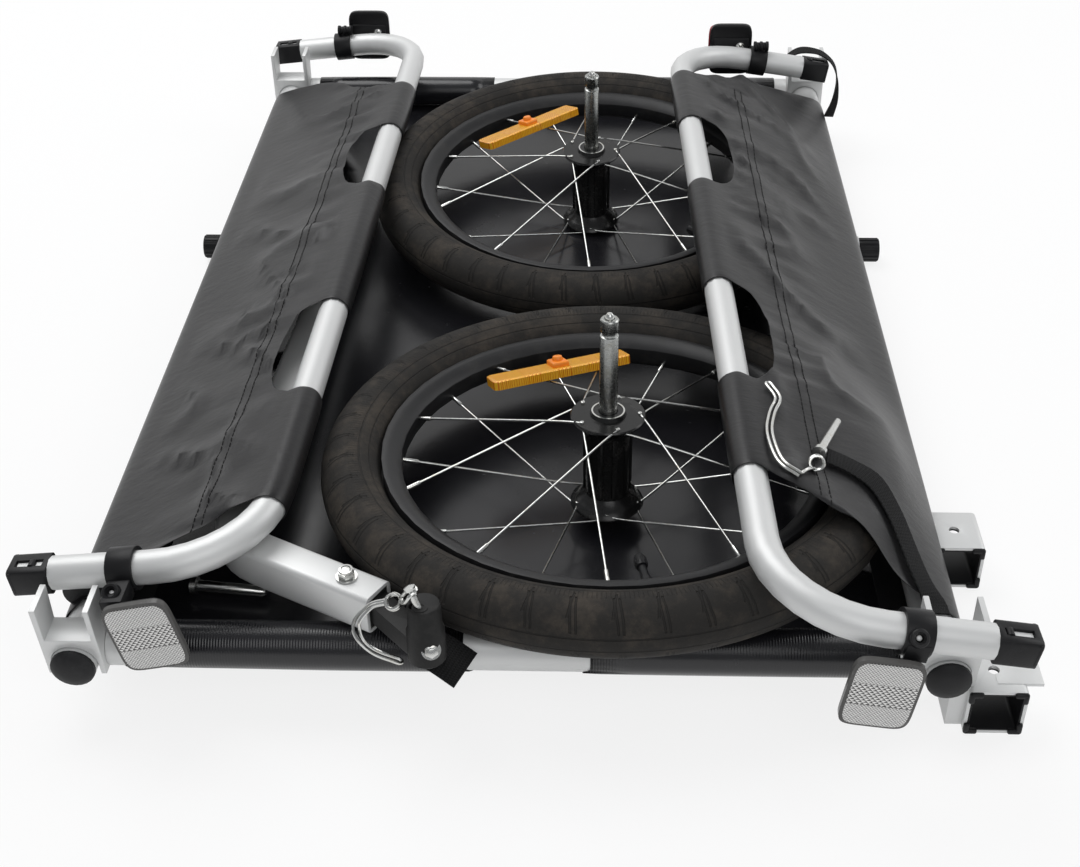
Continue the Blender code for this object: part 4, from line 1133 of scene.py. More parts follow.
@dataclass
class Wheel:
    """One stowed wheel: tyre, rim, laced hub, valve and spoke reflector."""

    label: str
    reflector_angle: float
    valve_angle: float
    radius: float = 0.200
    section: float = 0.021
    rim_depth: float = 0.0137
    flange: float = 0.036
    hub_half: float = 0.0395
    hub_radius: float = 0.0165
    spoke_circle: float = 0.0222
    spoke_count: int = 20
    spoke_swing: float = 52.0
    spoke_wire: float = 0.00082
    grip_count: int = 10
    cap_ribs: int = 12
    tread_pitches: int = 44
    reflector_out: float = 0.093
    place: Matrix = field(default_factory=Matrix, repr=False)

    @property
    def body(self) -> str:
        """The CAD body that the wheel's pieces ride on."""
        return "wheel_" + self.label

    @property
    def rim(self) -> float:
        """Radius of the rim's inner edge."""
        return self.radius - 2 * self.section - self.rim_depth

    def build(self, frame: dict, dresser: NodeDresser) -> None:
        """Makes every piece of the wheel."""
        joint = next(j for j in frame["joints"] if j["name"] == self.label + "_wheel_spin")
        axis = Vector(joint["axis"])
        side = Vector((1, 0, 0))
        self.place = Matrix((side, axis.cross(side), axis)).transposed().to_4x4()
        self.place.translation = joint["pos_m"]
        self._tyre()
        self._hub()
        self._spokes()
        self._valve()
        self._reflector()
        dresser.dress(RIM_METAL, "rim_" + self.label, bevel=0.0004)
        dresser.dress(AXLE_STEEL, "axle_" + self.label, bevel=0.0002)
        dresser.dress(STEEL, "button_" + self.label)

    def _tyre(self) -> None:
        """The tyre with a UV map for its tread."""
        part = bmesh.new()
        ring = self.radius - self.section
        around, steps = 28, 132
        points = []
        for i in range(around):
            angle = math.tau * i / around
            bulge = self.section * (1 + 0.018 * math.cos(2 * angle))
            x = ring + bulge * math.cos(angle) * 0.985
            points.append(part.verts.new((x, 0, self.section * math.sin(angle))))
        edges = [part.edges.new((points[i - 1], points[i])) for i in range(around)]
        spin_round(part, [*points, *edges], steps)
        layer = part.loops.layers.uv.new("UVMap")
        for face in part.faces:
            middle = face.calc_center_median()
            base = math.atan2(middle.y, middle.x)
            core = math.atan2(middle.z, math.hypot(middle.x, middle.y) - ring)
            for loop in face.loops:
                co = loop.vert.co
                turn = math.atan2(co.y, co.x)
                turn += math.tau * round((base - turn) / math.tau)
                tip = math.atan2(co.z, math.hypot(co.x, co.y) - ring)
                tip += math.tau * round((core - tip) / math.tau)
                loop[layer].uv = (turn / math.tau * self.tread_pitches, tip / math.pi)
        shape = Shape().take(part, self.place, 0, 1)
        tyre = shape.piece("tyre_%s_treaded" % self.label, TREAD, self.body, Slot.TYRE, 60)
        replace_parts(tyre, "tyre_" + self.label)

    def _hub(self) -> None:
        """The ribbed hub shell with its flanges, and a bright bearing ring on each side."""
        shell = Shape()
        flange, barrel = self.flange, self.hub_radius
        half = [(0.0068, self.hub_half), (0.0118, self.hub_half), (0.0128, flange + 0.0011)]
        for out, up in ((0.0032, 0.0011), (0.0040, 0.0002), (0.0032, -0.0016)):
            half.append((self.spoke_circle + out, flange + up))
        half += [(barrel + 0.0045, flange - 0.0040), (barrel - 0.0008, flange - 0.0095)]
        shell.turned(half + [(r, -z) for r, z in half[::-1]], self.place, 64, closed=True)
        for i in range(self.grip_count):
            spot = rotation(math.tau * i / self.grip_count, "Z") @ offset(self.hub_radius - 0.0004, 0, 0)
            shell.block((0.0022, 0.0042, 0.050), self.place @ spot, 0.0008)
        body = shell.piece("hub_%s_shell" % self.label, HUB_METAL, self.body, Slot.BLACK)
        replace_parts(body, "hub_" + self.label)
        rings = Shape()
        for sign in (-1, 1):
            z = sign * (self.hub_half + 0.0001)
            top = z + sign * 0.0005
            ring = [(0.0105, z), (0.0105, top), (0.0116, top), (0.0116, z)]
            rings.turned(ring, self.place, 40, closed=True)
        rings.piece("bearing_rings_" + self.label, STEEL, self.body, Slot.STEEL)

    def _spokes(self) -> None:
        """Spokes with round heads in the flanges and nipples in the rim."""
        shape = Shape()
        for i in range(self.spoke_count):
            upper = 1 if i % 2 else -1
            lead = 1 if (i // 2) % 2 else -1
            angle = math.tau * i / self.spoke_count
            foot = angle - lead * math.radians(self.spoke_swing)
            high = upper * (self.flange + 0.0002 - lead * 0.0009)
            start = Vector((self.spoke_circle * math.cos(foot), self.spoke_circle * math.sin(foot), high))
            end = Vector((self.rim * math.cos(angle), self.rim * math.sin(angle), upper * 0.003))
            way = (end - start).normalized()
            bow = Vector((0, 0, upper * 0.0016))
            line = [start, start + way * 0.018 + bow * 0.55, start.lerp(end, 0.5) + bow * 0.4, end]
            shape.wire([self.place @ p for p in smooth_line(line, 5)], self.spoke_wire)
            root = self.place @ (end - way * 0.011)
            shape.rod(root, self.place @ (end + way * 0.0015), 0.0016, 10, 0.0003)
            head = self.place @ (start - way * 0.0006)
            up = self.place.to_3x3().col[2] * upper
            shape.rod(head - up * 0.0026, head + up * 0.0012, 0.0016, 8, 0.0003)
        shape.piece("spokes_" + self.label, STEEL, self.body, Slot.STEEL, 60)

    def _valve(self) -> None:
        """The tyre valve with its ribbed cap, pointing from the rim to the hub."""
        base = self.place @ (rotation(math.radians(self.valve_angle), "Z") @ rotation(-math.pi / 2, "Y"))
        shape = Shape()
        stem = ((0, -0.0012), (0.0042, -0.0012), (0.0040, 0.006), (0.0030, 0.009), (0.0026, 0.02), (0, 0.02))
        cap = ((0, 0.0195), (0.0038, 0.0195), (0.0041, 0.021), (0.0040, 0.028), (0.0032, 0.0300), (0, 0.0305))
        for profile in (stem, cap):
            shape.turned([(radius, -self.rim + high) for radius, high in profile], base, 24)
        for i in range(self.cap_ribs):
            spot = rotation(math.tau * i / self.cap_ribs, "Z") @ offset(0.0041, 0, -self.rim + 0.0245)
            shape.block((0.0007, 0.0009, 0.0062), base @ spot, 0.0002, 1)
        shape.piece("valve_" + self.label, PLASTIC, self.body, Slot.PLASTIC)

    def _reflector(self) -> None:
        """The amber bar between two spokes: a ribbed lens face in a smooth bar, and its orange clip."""
        rim, foot, tip = self.rim - 0.0003, 0.026, 0.003
        slope = math.atan2(self.flange - tip, rim - foot)
        out = self.reflector_out
        high = self.flange * (1 - (out - foot) / (rim - foot)) + tip * 0.58 + 0.0031
        spot = rotation(math.radians(self.reflector_angle), "Z") @ offset(out, 0, high)
        place = self.place @ spot @ rotation(slope, "Y")
        bar = lens_plate(rounded(0.022, 0.108, 0.004), 0.006, place, 0.0009)
        made = bar.piece("spoke_reflector_%s_lens" % self.label, AMBER, self.body, Slot.AMBER)
        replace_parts(made, "spoke_reflector_" + self.label)
        clip = Shape()
        clip.block((0.015, 0.013, 0.0050), place @ offset(0.001, 0, 0.0050), 0.0014, 3)
        clip.drum(0.0042, 0.0045, place @ offset(0.001, 0, 0.0085), 20, 0.0010, 0.85)
        clip.piece("reflector_clip_" + self.label, ORANGE, self.body, Slot.AMBER)


def lens_plate(outline: Outline, depth: float, place: Matrix, crown: float) -> Shape:
    """A moulded lens plate with a raised, slightly crowned face and a UV map in metres.

    Args:
        outline: The plate's edge, across the place's X and Y axes.
        depth: Thickness along its Z axis.
        place: Where its middle lies.
        crown: Height of the raised face.

    Returns:
        The lens as a shape.
    """
    part = bmesh.new()
    points = [part.verts.new((x, y, -depth / 2)) for x, y in outline]
    back = part.faces.new(points)
    made = bmesh.ops.extrude_face_region(part, geom=[back])["geom"]
    front = next(g for g in made if isinstance(g, bmesh.types.BMFace))
    bmesh.ops.translate(part, vec=(0, 0, depth), verts=front.verts)
    bmesh.ops.inset_region(part, faces=[front], thickness=0.0016, depth=0.0)
    bmesh.ops.translate(part, vec=(0, 0, crown), verts=front.verts)
    bmesh.ops.inset_region(part, faces=[front], thickness=0.0012, depth=0.0)
    layer = part.loops.layers.uv.new("UVMap")
    for face in part.faces:
        for loop in face.loops:
            loop[layer].uv = loop.vert.co.to_2d()
    return Shape().take(part, place, 0, 1)


# Hoops' fittings


def corners_of(node: bpy.types.Object) -> tuple[Vector, Vector]:
    """Lowest and highest corner of a node."""
    axes = list(zip(*(v.co for v in node.data.vertices)))
    return Vector([min(axis) for axis in axes]), Vector([max(axis) for axis in axes])


def middle_of(node: bpy.types.Object) -> Vector:
    """Middle of a node's bounding box."""
    low, high = corners_of(node)
    return (low + high) / 2


@dataclass
class Reflector:
    """A prismatic lens on a black housing at a hoop's collar: clear at the front, red at the rear."""

    end: str
    side: Side
    turn: float
    width: float = 0.043
    height: float = 0.053
    ledge: Point = (0.036, 0.0170, 0.0026)
    ledge_y: float = 0.0045
    screw_x: float = 0.0095
    edge_points: int = 48

    def _outline(self, inset: float) -> Outline:
        """The lens's edge: a rectangle with bowed sides and round corners, drawn in by the inset."""
        points = []
        for i in range(self.edge_points):
            angle = math.tau * i / self.edge_points
            c, s = math.cos(angle), math.sin(angle)
            x = math.copysign(abs(c) ** 0.34, c) * (self.width / 2 - inset)
            points.append((x, math.copysign(abs(s) ** 0.30, s) * (self.height / 2 - inset)))
        return points

    def build(self, frame: dict) -> None:
        """Makes the prisms, the lens's edge round them and the housing behind."""
        label = "%s_%s" % (self.end, self.side.label)
        node = frame["nodes"]["reflector_" + label]
        body = "side_frame_" + self.side.label
        face = Matrix.Translation(middle_of(node)) @ rotation(math.radians(self.turn), "Y")
        face = face @ rotation(math.pi / 2, "X")
        prisms, edge, slot = CLEAR, LENS_RIM, Slot.CLEAR
        if self.end == "rear":
            face = face @ rotation(math.pi, "Y")
            prisms, edge, slot = RED, RED_RIM, Slot.RED
        lens = lens_plate(self._outline(0.0020), 0.0020, face @ offset(0, 0, 0.0028), 0.0002)
        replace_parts(lens.piece("prisms_" + label, prisms, body, slot, 30), node.name)
        inset = 0.0 if self.end == "front" else 0.0022
        aside = 0.0034 if self.end == "rear" and self.side is Side.RIGHT else 0.0
        rim = lens_plate(self._outline(inset), 0.0036, face @ offset(aside, 0, 0.0012), 0.0004)
        rim.piece("lens_edge_" + label, edge, body, slot, 30)
        self._housing(label, body, face)

    def _housing(self, label: str, body: str, face: Matrix) -> None:
        """The black back with its ledge and, at the rear, a bright screw."""
        back = face @ rotation(math.pi, "Y") @ offset(0, 0, 0.0020)
        inset = 0.0022 if self.end == "front" else 0.0
        shape = lens_plate(self._outline(inset), 0.0040, back, 0.0010)
        depth = self.ledge[2]
        shape.block(self.ledge, back @ offset(0, self.ledge_y, 0.0020 + depth / 2), 0.0014, 3)
        shape.piece("reflector_back_" + label, PLASTIC, body, Slot.PLASTIC)
        if self.end == "rear":
            spot = back @ offset(self.screw_x, self.ledge_y, 0.0020 + depth)
            dome = [(0, -0.0004), (0.0045, -0.0004), (0.0043, 0.0010), (0.0028, 0.0023), (0, 0.0027)]
            screw = Shape().turned(dome, spot, 28)
            screw.piece("reflector_screw_" + label, STEEL, body, Slot.STEEL)
            cross = Shape()
            for turn in (0.5, 0.5 + math.pi / 2):
                slot = rotation(turn, "Z") @ offset(0, 0, 0.0026)
                cross.block((0.0042, 0.0009, 0.0008), spot @ slot, 0.0001, 1)
            cross.piece("screw_cross_" + label, PLASTIC, body, Slot.PLASTIC)


@dataclass
class HoopFittings:
    """Small parts on a hoop: the collars' screw and knuckle, and the pins and strips in the slotted ends."""

    side: Side
    screw: tuple[Vector, Vector]
    knuckle: Vector
    pin_out: float
    leg_end: float = 0.1303
    fitting: float = 0.0255
    teeth: int = 5
    tooth: float = 0.0030

    def build(self) -> None:
        """Makes them all."""
        body = "side_frame_" + self.side.label
        at, normal = self.screw
        boss = Matrix.Translation(at) @ facing(normal)
        ring = [(0.0026, 0.0), (0.0060, 0.0), (0.0056, 0.0036), (0.0050, 0.0042), (0.0036, 0.0042)]
        black = Shape().turned([*ring, (0.0026, 0.0026)], boss, 32, closed=True)
        for i in range(self.teeth):
            spot = Matrix.Translation(self.knuckle + Vector(((i - self.teeth // 2) * self.tooth, 0, 0)))
            radius = 0.0050 if i % 2 == 0 else 0.0041
            black.drum(radius, 0.0029, spot @ rotation(math.pi / 2, "Y"), 20, 0.0005)
        foot = Matrix.Translation(self.knuckle + Vector((0, 0.004, -0.003)))
        black.block((0.0090, 0.014, 0.0060), foot, 0.0015, 3)
        dome = [(0, 0.0), (0.0017, 0.0), (0.0016, 0.0012), (0.0008, 0.0016), (0, 0.0016)]
        bright = Shape().turned(dome, boss, 24)
        hoop = hoop_place(self.side)
        s = self.side.value
        for y in (-LEG_AT, LEG_AT):
            middle = offset(s * (self.leg_end + self.fitting / 2), y - 0.001, 0.0078)
            bright.block((self.fitting * 0.66, 0.0054, 0.0008), hoop @ middle, 0.0001, 1)
            pin = offset(s * (self.leg_end + self.pin_out), y - 0.001, 0.0088)
            black.drum(0.0023, 0.0062, hoop @ pin @ rotation(math.pi / 2, "X"), 16, 0.0003)
            lip = offset(s * (self.leg_end + self.fitting - 0.0012), y, 0.0)
            for across in (-0.0092, 0.0092):
                black.block((0.0024, 0.0018, 0.0160), hoop @ lip @ offset(0, across, 0.001), 0.0005)
        black.piece("hoop_trim_" + self.side.label, PLASTIC, body, Slot.PLASTIC)
        bright.piece("hoop_strips_" + self.side.label, CASTING, body, Slot.STEEL)


# Bed fittings


@dataclass
class BedFittings:
    """Small parts on the bed: the receivers' pads and screw, the axle ends' ribs and a sleeve's end."""

    pad: Point = (0.0085, 0.0034, 0.0062)
    flutes: int = 14

    def build(self, frame: dict) -> None:
        """Makes them all."""
        black = Shape()
        for name in ("receiver_front", "receiver_rear"):
            low, high = corners_of(frame["nodes"][name + "_lining"])
            for x, sx in ((low.x, 1), (high.x, -1)):
                for z, sz in ((low.z, 1), (high.z, -1)):
                    self._corner(black, Vector((x, low.y, z)), sx, sz)
        black.piece("receiver_pads", PLASTIC, "bed_frame", Slot.PLASTIC)
        self._axle_ends(frame)
        self._screw(frame)
        self._sleeve_end()

    def _corner(self, shape: Shape, at: Vector, sx: int, sz: int) -> None:
        """One L-shaped pad in a corner of a receiver's mouth."""
        wide, deep, thick = self.pad
        across = at + Vector((sx * (wide / 2 - 0.0018), -deep * 0.15, sz * (thick / 2 - 0.0034)))
        shape.block((wide, deep, thick * 0.62), Matrix.Translation(across), 0.0014, 3)
        upright = at + Vector((sx * (thick / 2 - 0.0034), -deep * 0.15, sz * (wide / 2 - 0.0018)))
        shape.block((thick * 0.62, deep, wide), Matrix.Translation(upright), 0.0014, 3)

    def _axle_ends(self, frame: dict) -> None:
        """Ribs round the black ends of the axle tube."""
        for side in Side:
            low, high = corners_of(frame["nodes"]["axle_end_" + side.label])
            middle = Matrix.Translation((low + high) / 2)
            length, radius = high.x - low.x, (high.z - low.z) / 2
            ribs = Shape()
            for i in range(self.flutes):
                turn = rotation(math.tau * i / self.flutes, "X")
                spot = turn @ offset(0, 0, radius - 0.0002)
                ribs.block((length * 0.94, 0.0022, 0.0016), middle @ spot, 0.0006)
            ribs.piece("axle_end_ribs_" + side.label, PLASTIC, "bed_frame", Slot.PLASTIC)

    @staticmethod
    def _screw(frame: dict) -> None:
        """The rear receiver's small round-headed screw."""
        low, high = corners_of(frame["nodes"]["receiver_rear"])
        spot = offset(low.x + 0.0135, (low.y + high.y) / 2 + 0.004, high.z)
        dome = [(0, 0.0), (0.0036, 0.0), (0.0034, 0.0012), (0.0018, 0.0024), (0, 0.0026)]
        Shape().turned(dome, spot, 24).piece("receiver_screw", STEEL, "bed_frame", Slot.STEEL)

    @staticmethod
    def _sleeve_end() -> None:
        """The left cloth's sleeve, which ends in a rounded roll behind the front bracket."""
        steps = (0.0470, 0.0480, 0.0500, 0.0530, 0.0555, 0.0565)
        line = [bed_point(-0.2745, y, 0.0195) for y in steps]
        frames = frames_along(line, [Vector((0, 0, 1))] * len(line))
        shape = Shape().swept(rounded(0.0275, 0.0240, 0.0115, 6), frames)
        sleeve = shape.piece("sleeve_end_left", FOLDED, "bed_frame", Slot.PANEL)
        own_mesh(sleeve)


# Straps and tow gear


@dataclass
class Strap:
    """A flat webbing strap along a line, with a UV map in metres along and across it."""

    name: str
    line: Sequence[Vector]
    normals: Sequence[Vector]
    width: float
    body: str
    thick: float = 0.0014

    def build(self) -> bpy.types.Object:
        """Makes the strap in place of its CAD node."""
        frames = frames_along(self.line, self.normals)
        shape = Shape().swept(rounded(self.width, self.thick, self.thick * 0.45, 2), frames)
        lengths = [0.0]
        for a, b in zip(self.line, self.line[1:]):
            lengths.append(lengths[-1] + (b - a).length)
        layer = shape.mesh.loops.layers.uv.new("UVMap")
        for face in shape.mesh.faces:
            for loop in face.loops:
                near = min(range(len(frames)), key=lambda i: (frames[i].translation - loop.vert.co).length)
                local = frames[near].inverted() @ loop.vert.co
                loop[layer].uv = (lengths[near] + local.z, local.x)
        web = shape.piece(self.name + "_web", WEB, self.body, Slot.WEBBING)
        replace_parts(web, self.name)
        return web


def paired_wire(shape: Shape, knots: Sequence[Vector], spread: float) -> None:
    """A wire doubled back on itself along the knots."""
    line = smooth_line(knots, 6)
    frames = frames_along(line, [Vector((0, 0, 1))] * len(line))
    out = [frame @ Vector((spread / 2, 0, 0)) for frame in frames]
    home = [frame @ Vector((-spread / 2, 0, 0)) for frame in frames]
    turn = frames[-1] @ Vector((0, 0, spread * 0.45))
    shape.wire(smooth_line(out[::2] + [turn] + home[::-2], 3), CLASP_WIRE)


def coil(shape: Shape, place: Matrix, radius: float, pitch: float) -> None:
    """A round coil of two turns of wire about a place's Z axis."""
    turns, count = 2.0, 40
    line = []
    for i in range(count + 1):
        angle = math.tau * turns * i / count
        high = pitch * turns * (i / count - 0.5)
        line.append(place @ Vector((radius * math.cos(angle), radius * math.sin(angle), high)))
    shape.wire(line, CLASP_WIRE)


@dataclass
class HitchGear:
    """The connector's pin with its sprung clasp, the nut on the tow bar and the nut on the connector."""

    pin_foot: Vector = field(default_factory=lambda: bed_point(-0.0488, -0.0150, 0.0650))
    pin_top: Vector = field(default_factory=lambda: bed_point(-0.0546, -0.0110, 0.0795))
    body: str = "tow_bar_body"

    def build(self, frame: dict) -> None:
        """Makes them all."""
        self._pin()
        self._clasp()
        self._nut(frame)
        self._side_nut()

    def _pin(self) -> None:
        """A slim pin with a waisted head."""
        place = Matrix.Translation(self.pin_foot) @ facing(self.pin_top - self.pin_foot)
        length = (self.pin_top - self.pin_foot).length
        profile = [(0, -0.004), (0.0024, -0.004), (0.0024, length - 0.005), (0.0016, length - 0.004)]
        profile += [(0.0016, length - 0.0022), (0.0034, length - 0.0014), (0.0036, length + 0.0008)]
        profile += [(0, length + 0.0018)]
        pin = Shape().turned(profile, place, 24)
        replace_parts(pin.piece("hitch_pin_turned", STEEL, self.body, Slot.STEEL), "hitch_pin")
        ring = [(0.0026, 0.0034), (0.0048, 0.0034), (0.0048, 0.0024), (0.0026, 0.0024)]
        collar = Shape().turned(ring, Matrix.Translation(self.pin_foot), 28, closed=True)
        collar.piece("hitch_pin_seat", RUBBER, self.body, Slot.RUBBER)

    def _clasp(self) -> None:
        """Doubled spring wire with a coil beside the pin and a link over the pin's head."""
        shape = Shape()
        eye = bed_point(-0.0655, -0.0060, 0.0640)
        turn = rotation(math.radians(35), "X") @ rotation(math.radians(-12), "Y")
        coil(shape, Matrix.Translation(eye) @ turn, 0.0048, 0.0021)
        knots = [(-0.0705, -0.0045, 0.0625), (-0.0800, -0.0030, 0.0575), (-0.0885, -0.0080, 0.0490)]
        knots += [(-0.0868, -0.0125, 0.0400), (-0.0785, -0.0135, 0.0300), (-0.0640, -0.0135, 0.0225)]
        paired_wire(shape, bed_points(knots), 0.0038)
        link = [(-0.0612, -0.0080, 0.0655), (-0.0575, -0.0150, 0.0715), (-0.0540, -0.0158, 0.0775)]
        link += [(-0.0505, -0.0120, 0.0790), (-0.0535, -0.0072, 0.0775), (-0.0590, -0.0060, 0.0700)]
        link += [(-0.0620, -0.0045, 0.0655)]
        shape.wire(smooth_line(bed_points(link), 6), CLASP_WIRE)
        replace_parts(shape.piece("hitch_clasp_wire", STEEL, self.body, Slot.STEEL), "hitch_clasp")

    def _nut(self, frame: dict) -> None:
        """A hexagon nut with a nylon collar, on a washer, with the bolt's end in it."""
        spot = middle_of(frame["nodes"]["tow_bar_bolt"])
        foot = Matrix.Translation(spot + Vector((0, 0, -0.0030)))
        metal = Shape().turned([(0, 0), (0.0068, 0), (0.0068, 0.0008), (0, 0.0008)], foot, 32)
        metal.drum(0.0056, 0.0040, foot @ offset(0, 0, 0.0028), 6, 0.0005)
        collar = [(0.0030, 0.0046), (0.0046, 0.0046), (0.0044, 0.0064), (0.0030, 0.0066)]
        metal.turned(collar, foot, 32, closed=True)
        metal.turned([(0, 0.0040), (0.0027, 0.0040), (0.0025, 0.0062), (0, 0.0064)], foot, 24)
        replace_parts(metal.piece("tow_bar_nut", STEEL, self.body, Slot.STEEL), "tow_bar_bolt")

    def _side_nut(self) -> None:
        """The nut low on the connector's front."""
        spot = offset(-0.0492, -0.4600, 0.0868) @ facing(Vector((0.20, -0.85, 0.45)))
        shape = Shape().turned([(0, 0), (0.0060, 0), (0.0060, 0.0010), (0, 0.0010)], spot, 28)
        shape.drum(0.0046, 0.0024, spot @ offset(0, 0, 0.0021), 6, 0.0005)
        shape.turned([(0, 0.0030), (0.0024, 0.0030), (0.0022, 0.0044), (0, 0.0048)], spot, 20)
        shape.piece("connector_nut", STEEL, self.body, Slot.STEEL)


@dataclass
class ClothGear:
    """The wire clasp and the strap that lie on the right side cloth, and the loose pin's hook."""

    cloth: SideCloth

    def on(self, x: float, y: float, rise: float) -> Vector:
        """A point above the side cloth, or at the height of the nearest cloth behind it."""
        spot = bed_point(x, y, 0)
        tries = (self.cloth.drop(spot.x, spot.y + back * 0.004) for back in range(12))
        hit, _ = next(found for found in tries if found)
        return Vector((spot.x, spot.y, hit.z + rise))

    def build(self, frame: dict) -> None:
        """Makes them all."""
        self._clasp()
        self._strap()
        self._hook(frame)

    def _clasp(self) -> None:
        """A doubled wire with a kinked end, a bow and a coil beside the pin."""
        shape = Shape()
        knots = [(0.184, 0.096), (0.172, 0.108), (0.168, 0.139)]
        knots += [(0.172, 0.164), (0.177, 0.180), (0.172, 0.197)]
        paired_wire(shape, [self.on(x, y, 0.0026) for x, y in knots], 0.0034)
        eye = self.on(0.196, 0.112, 0.0065)
        coil(shape, Matrix.Translation(eye) @ rotation(math.radians(60), "X"), 0.0046, 0.0022)
        link = ((0.1845, 0.0975, 0.0026), (0.190, 0.103, 0.0040), (0.1945, 0.1085, 0.0030))
        shape.wire(smooth_line([self.on(*knot) for knot in link], 5), CLASP_WIRE)
        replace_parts(shape.piece("tow_bar_clasp_wire", STEEL, "bed_frame", Slot.STEEL), "tow_bar_clasp")

    @staticmethod
    def _hook(frame: dict) -> None:
        """The wire hook at the loose pin's right end."""
        corners = [v.co for v in frame["nodes"]["loose_pin"].data.vertices]
        tip = max(corners, key=lambda co: co.x)
        moves = [(-0.010, 0, 0.001), (-0.0125, 0.003, 0.008), (-0.009, 0.006, 0.014), (-0.003, 0.006, 0.015)]
        moves += [(0.002, 0.004, 0.011), (0.0035, 0.002, 0.006)]
        shape = Shape()
        shape.wire(smooth_line([tip + Vector(move) for move in moves], 5), 0.0012)
        shape.piece("loose_pin_hook", STEEL, "bed_frame", Slot.STEEL)

    def _strap(self) -> None:
        """The webbing that runs from the pin over the cloth's front edge to the bracket."""
        places = ((0.206, 0.132), (0.222, 0.128), (0.237, 0.118), (0.248, 0.100))
        knots = [self.on(x, y, 0.0030) for x, y in places]
        knots += [self.on(x, y, 0.0042) for x, y in ((0.255, 0.080), (0.260, 0.062))]
        knots += bed_points(((0.2665, 0.046, 0.0245), (0.2680, 0.034, 0.0235)))
        line = smooth_line(knots, 5)
        normals = []
        for point in line:
            found = self.cloth.drop(point.x, point.y)
            normals.append(found[1] if found else Vector((0.2, -0.2, 1)))
        for _ in range(4):
            padded = [normals[0], *normals, normals[-1]]
            normals = [(a + b * 2 + c).normalized() for a, b, c in zip(padded, padded[1:], padded[2:])]
        Strap("tow_bar_strap", line, normals, 0.0165, "bed_frame").build()


def other_straps() -> None:
    """The loop at the rear right corner and the end of the safety strap."""
    knots = [(0.2918, 0.806, 0.003), (0.2985, 0.818, 0.016), (0.3004, 0.829, 0.033)]
    knots += [(0.2960, 0.836, 0.0475), (0.2845, 0.840, 0.0568), (0.2725, 0.843, 0.0592)]
    knots += [(0.2612, 0.8475, 0.0572), (0.2528, 0.8525, 0.0500), (0.2462, 0.8540, 0.0415)]
    line = smooth_line(bed_points(knots), 5)
    hub = bed_point(0.280, 0, 0.030)
    normals = [Vector((p.x - hub.x, 0, p.z - hub.z)) for p in line]
    loop = Strap("rear_strap", line, normals, 0.0125, "bed_frame").build()
    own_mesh(loop)
    knots = [(-0.0520, 0.0010, 0.0224), (-0.0400, -0.0040, 0.0200), (-0.0243, -0.0105, 0.0122)]
    line = smooth_line(bed_points(knots), 8)
    Strap("hitch_strap", line, [Vector((0, -0.25, 1))] * len(line), 0.028, "tow_bar_body", 0.0016).build()


# Studio


@dataclass
class Studio:
    """Pale floor, soft lights and the camera at the photograph's viewing angle."""

    eye: Point = (0.04565, -1.12834, 0.73696)
    pitch: float = 0.631703
    yaw: float = -0.041730
    roll: float = 0.015234
    focal_pixels: float = 1554.25
    picture_pixels: int = 1080
    sensor: float = 36.0
    room: float = 0.34

    def build(self) -> None:
        """Makes the camera, the lights and the floor."""
        self._camera()
        self._floor()
        self._world()
        self._softbox("key_light", (-0.9, 0.9, 2.3), (0, 0, 0.05), 1.9, 42)
        self._softbox("front_light", (0.5, -1.9, 1.7), (0, -0.1, 0.05), 1.4, 12)
        self._softbox("side_light", (1.9, 0.5, 1.3), (0, 0, 0.05), 1.2, 12)

    def _camera(self) -> None:
        """Looks at the trailer from above its front end."""
        cos_p, sin_p = math.cos(self.pitch), math.sin(self.pitch)
        ahead = Vector((math.sin(self.yaw) * cos_p, math.cos(self.yaw) * cos_p, -sin_p))
        right = Vector((math.cos(self.yaw), -math.sin(self.yaw), 0))
        down = ahead.cross(right)
        across = right * math.cos(self.roll) + down * math.sin(self.roll)
        below = down * math.cos(self.roll) - right * math.sin(self.roll)
        data = bpy.data.cameras.new("photo_camera")
        data.sensor_fit = "HORIZONTAL"
        data.sensor_width = self.sensor
        data.lens = self.sensor * self.focal_pixels / self.picture_pixels
        data.clip_start = 0.01
        camera = new_object("photo_camera", data)
        place = Matrix((across, -below, -ahead)).transposed().to_4x4()
        place.translation = self.eye
        camera.matrix_world = place
        bpy.context.scene.camera = camera

    def _floor(self) -> None:
        """One large sheet that curves up far behind the trailer."""
        part = bmesh.new()
        start = [part.verts.new((-6, -5, -0.0004)), part.verts.new((6, -5, -0.0004))]
        loop = [part.edges.new(start)]
        for move in ((0, 8, 0), (0, 0.8, 0.2), (0, 0.5, 0.6), (0, 0.2, 3.5)):
            points, loop = extruded(part, loop)
            bmesh.ops.translate(part, vec=move, verts=points)
        mesh = bpy.data.meshes.new("studio_floor")
        part.to_mesh(mesh)
        part.free()
        mesh.materials.append(PaleFloor("studio_white").material())
        new_object("studio_floor", mesh)

    def _world(self) -> None:
        """Even pale surroundings."""
        world = bpy.data.worlds.new("soft_room")
        world.use_nodes = True
        colour, strength = world.node_tree.nodes["Background"].inputs[:2]
        colour.default_value = (0.95, 0.97, 1.0, 1)
        strength.default_value = self.room
        bpy.context.scene.world = world
        bpy.context.scene.view_settings.view_transform = "Standard"

    @staticmethod
    def _softbox(name: str, at: Point, target: Point, size: float, power: float) -> None:
        """A square area light aimed at a point."""
        data = bpy.data.lights.new(name, "AREA")
        data.size = size
        data.energy = power
        lamp = new_object(name, data)
        aim = (Vector(target) - Vector(at)).to_track_quat("-Z", "Y").to_matrix().to_4x4()
        lamp.matrix_world = Matrix.Translation(at) @ aim


# The whole trailer


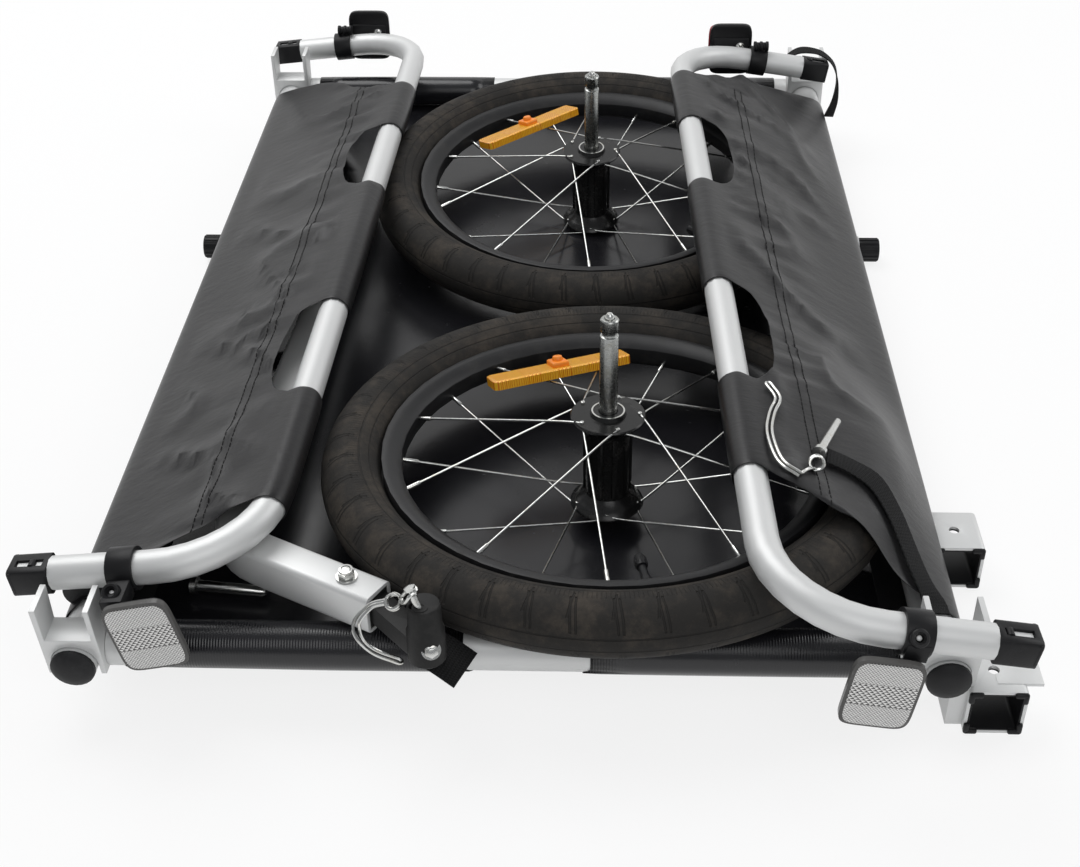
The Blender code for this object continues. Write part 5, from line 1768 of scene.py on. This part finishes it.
def dress_nodes(dresser: NodeDresser) -> None:
    """Gives every node that keeps its CAD shape its finish."""
    corners = [(end, side) for end in ("front", "rear") for side in ("left", "right")]
    dresser.dress(TUBE_Y, "rail_left", "rail_right", "hoop_left", "hoop_right")
    dresser.dress(TUBE_X, "cross_tube_front", "cross_tube_rear", "axle_tube")
    dresser.dress(CASTING, *["corner_bracket_%s_%s" % corner for corner in corners], bevel=0.0007)
    dresser.dress(CASTING, "receiver_front", "receiver_rear", bevel=0.0008)
    dresser.dress(TUBE_Y, "tow_bar", bevel=0.0005)
    dresser.dress(CAP_PLASTIC, *["rail_cap_%s_%s" % corner for corner in corners])
    dresser.dress(PLASTIC, *["end_fitting_%s_%s" % corner for corner in corners], bevel=0.0006)
    dresser.dress(PLASTIC, *["collar_%s_%s" % corner for corner in corners], bevel=0.0004)
    dresser.dress(PLASTIC, "receiver_front_lining", "receiver_rear_lining", bevel=0.0002)
    dresser.dress(PLASTIC, "axle_end_left", "axle_end_right", bevel=0.0002)
    dresser.dress(RUBBER, "flex_connector", bevel=0.0012)
    dresser.dress(STEEL, "tow_bar_pin", "loose_pin")


def main() -> None:
    """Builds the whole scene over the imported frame."""
    logging.basicConfig(level=logging.INFO, format="%(name)s: %(message)s")
    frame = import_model()
    dresser = NodeDresser(frame["nodes"])
    dress_nodes(dresser)
    Studio().build()
    left = SideCloth(Side.LEFT, ((-0.187, 0.329), (-0.208, -0.373)), ((0.212, 0.330), (0.535, 0.650)))
    left.build(frame)
    right = SideCloth(Side.RIGHT, ((0.184, 0.303), (0.194, -0.360)), ((0.212, 0.340), (0.512, 0.636)))
    right.calm = middle_of(frame["nodes"]["tow_bar_pin"])
    right.build(frame)
    FloorCloth().build(frame)
    Reflector("front", Side.LEFT, -12.0).build(frame)
    Reflector("front", Side.RIGHT, 8.0).build(frame)
    Reflector("rear", Side.LEFT, 0.0).build(frame)
    Reflector("rear", Side.RIGHT, 0.0).build(frame)
    screw = Vector((-0.2475, -0.4265, 0.0985)), Vector((-0.15, -0.55, 0.85))
    HoopFittings(Side.LEFT, screw, Vector((-0.2217, 0.4545, 0.1080)), 0.011).build()
    screw = Vector((0.2327, -0.4760, 0.1172)), Vector((0.05, -0.75, 0.65))
    HoopFittings(Side.RIGHT, screw, Vector((0.2140, 0.3910, 0.1165)), 0.007).build()
    BedFittings().build(frame)
    HitchGear().build(frame)
    ClothGear(right).build(frame)
    other_straps()
    Wheel("near", 112.7, -80.0).build(frame, dresser)
    Wheel("far", 130.0, -40.0).build(frame, dresser)


if __name__ == "__main__":
    main()
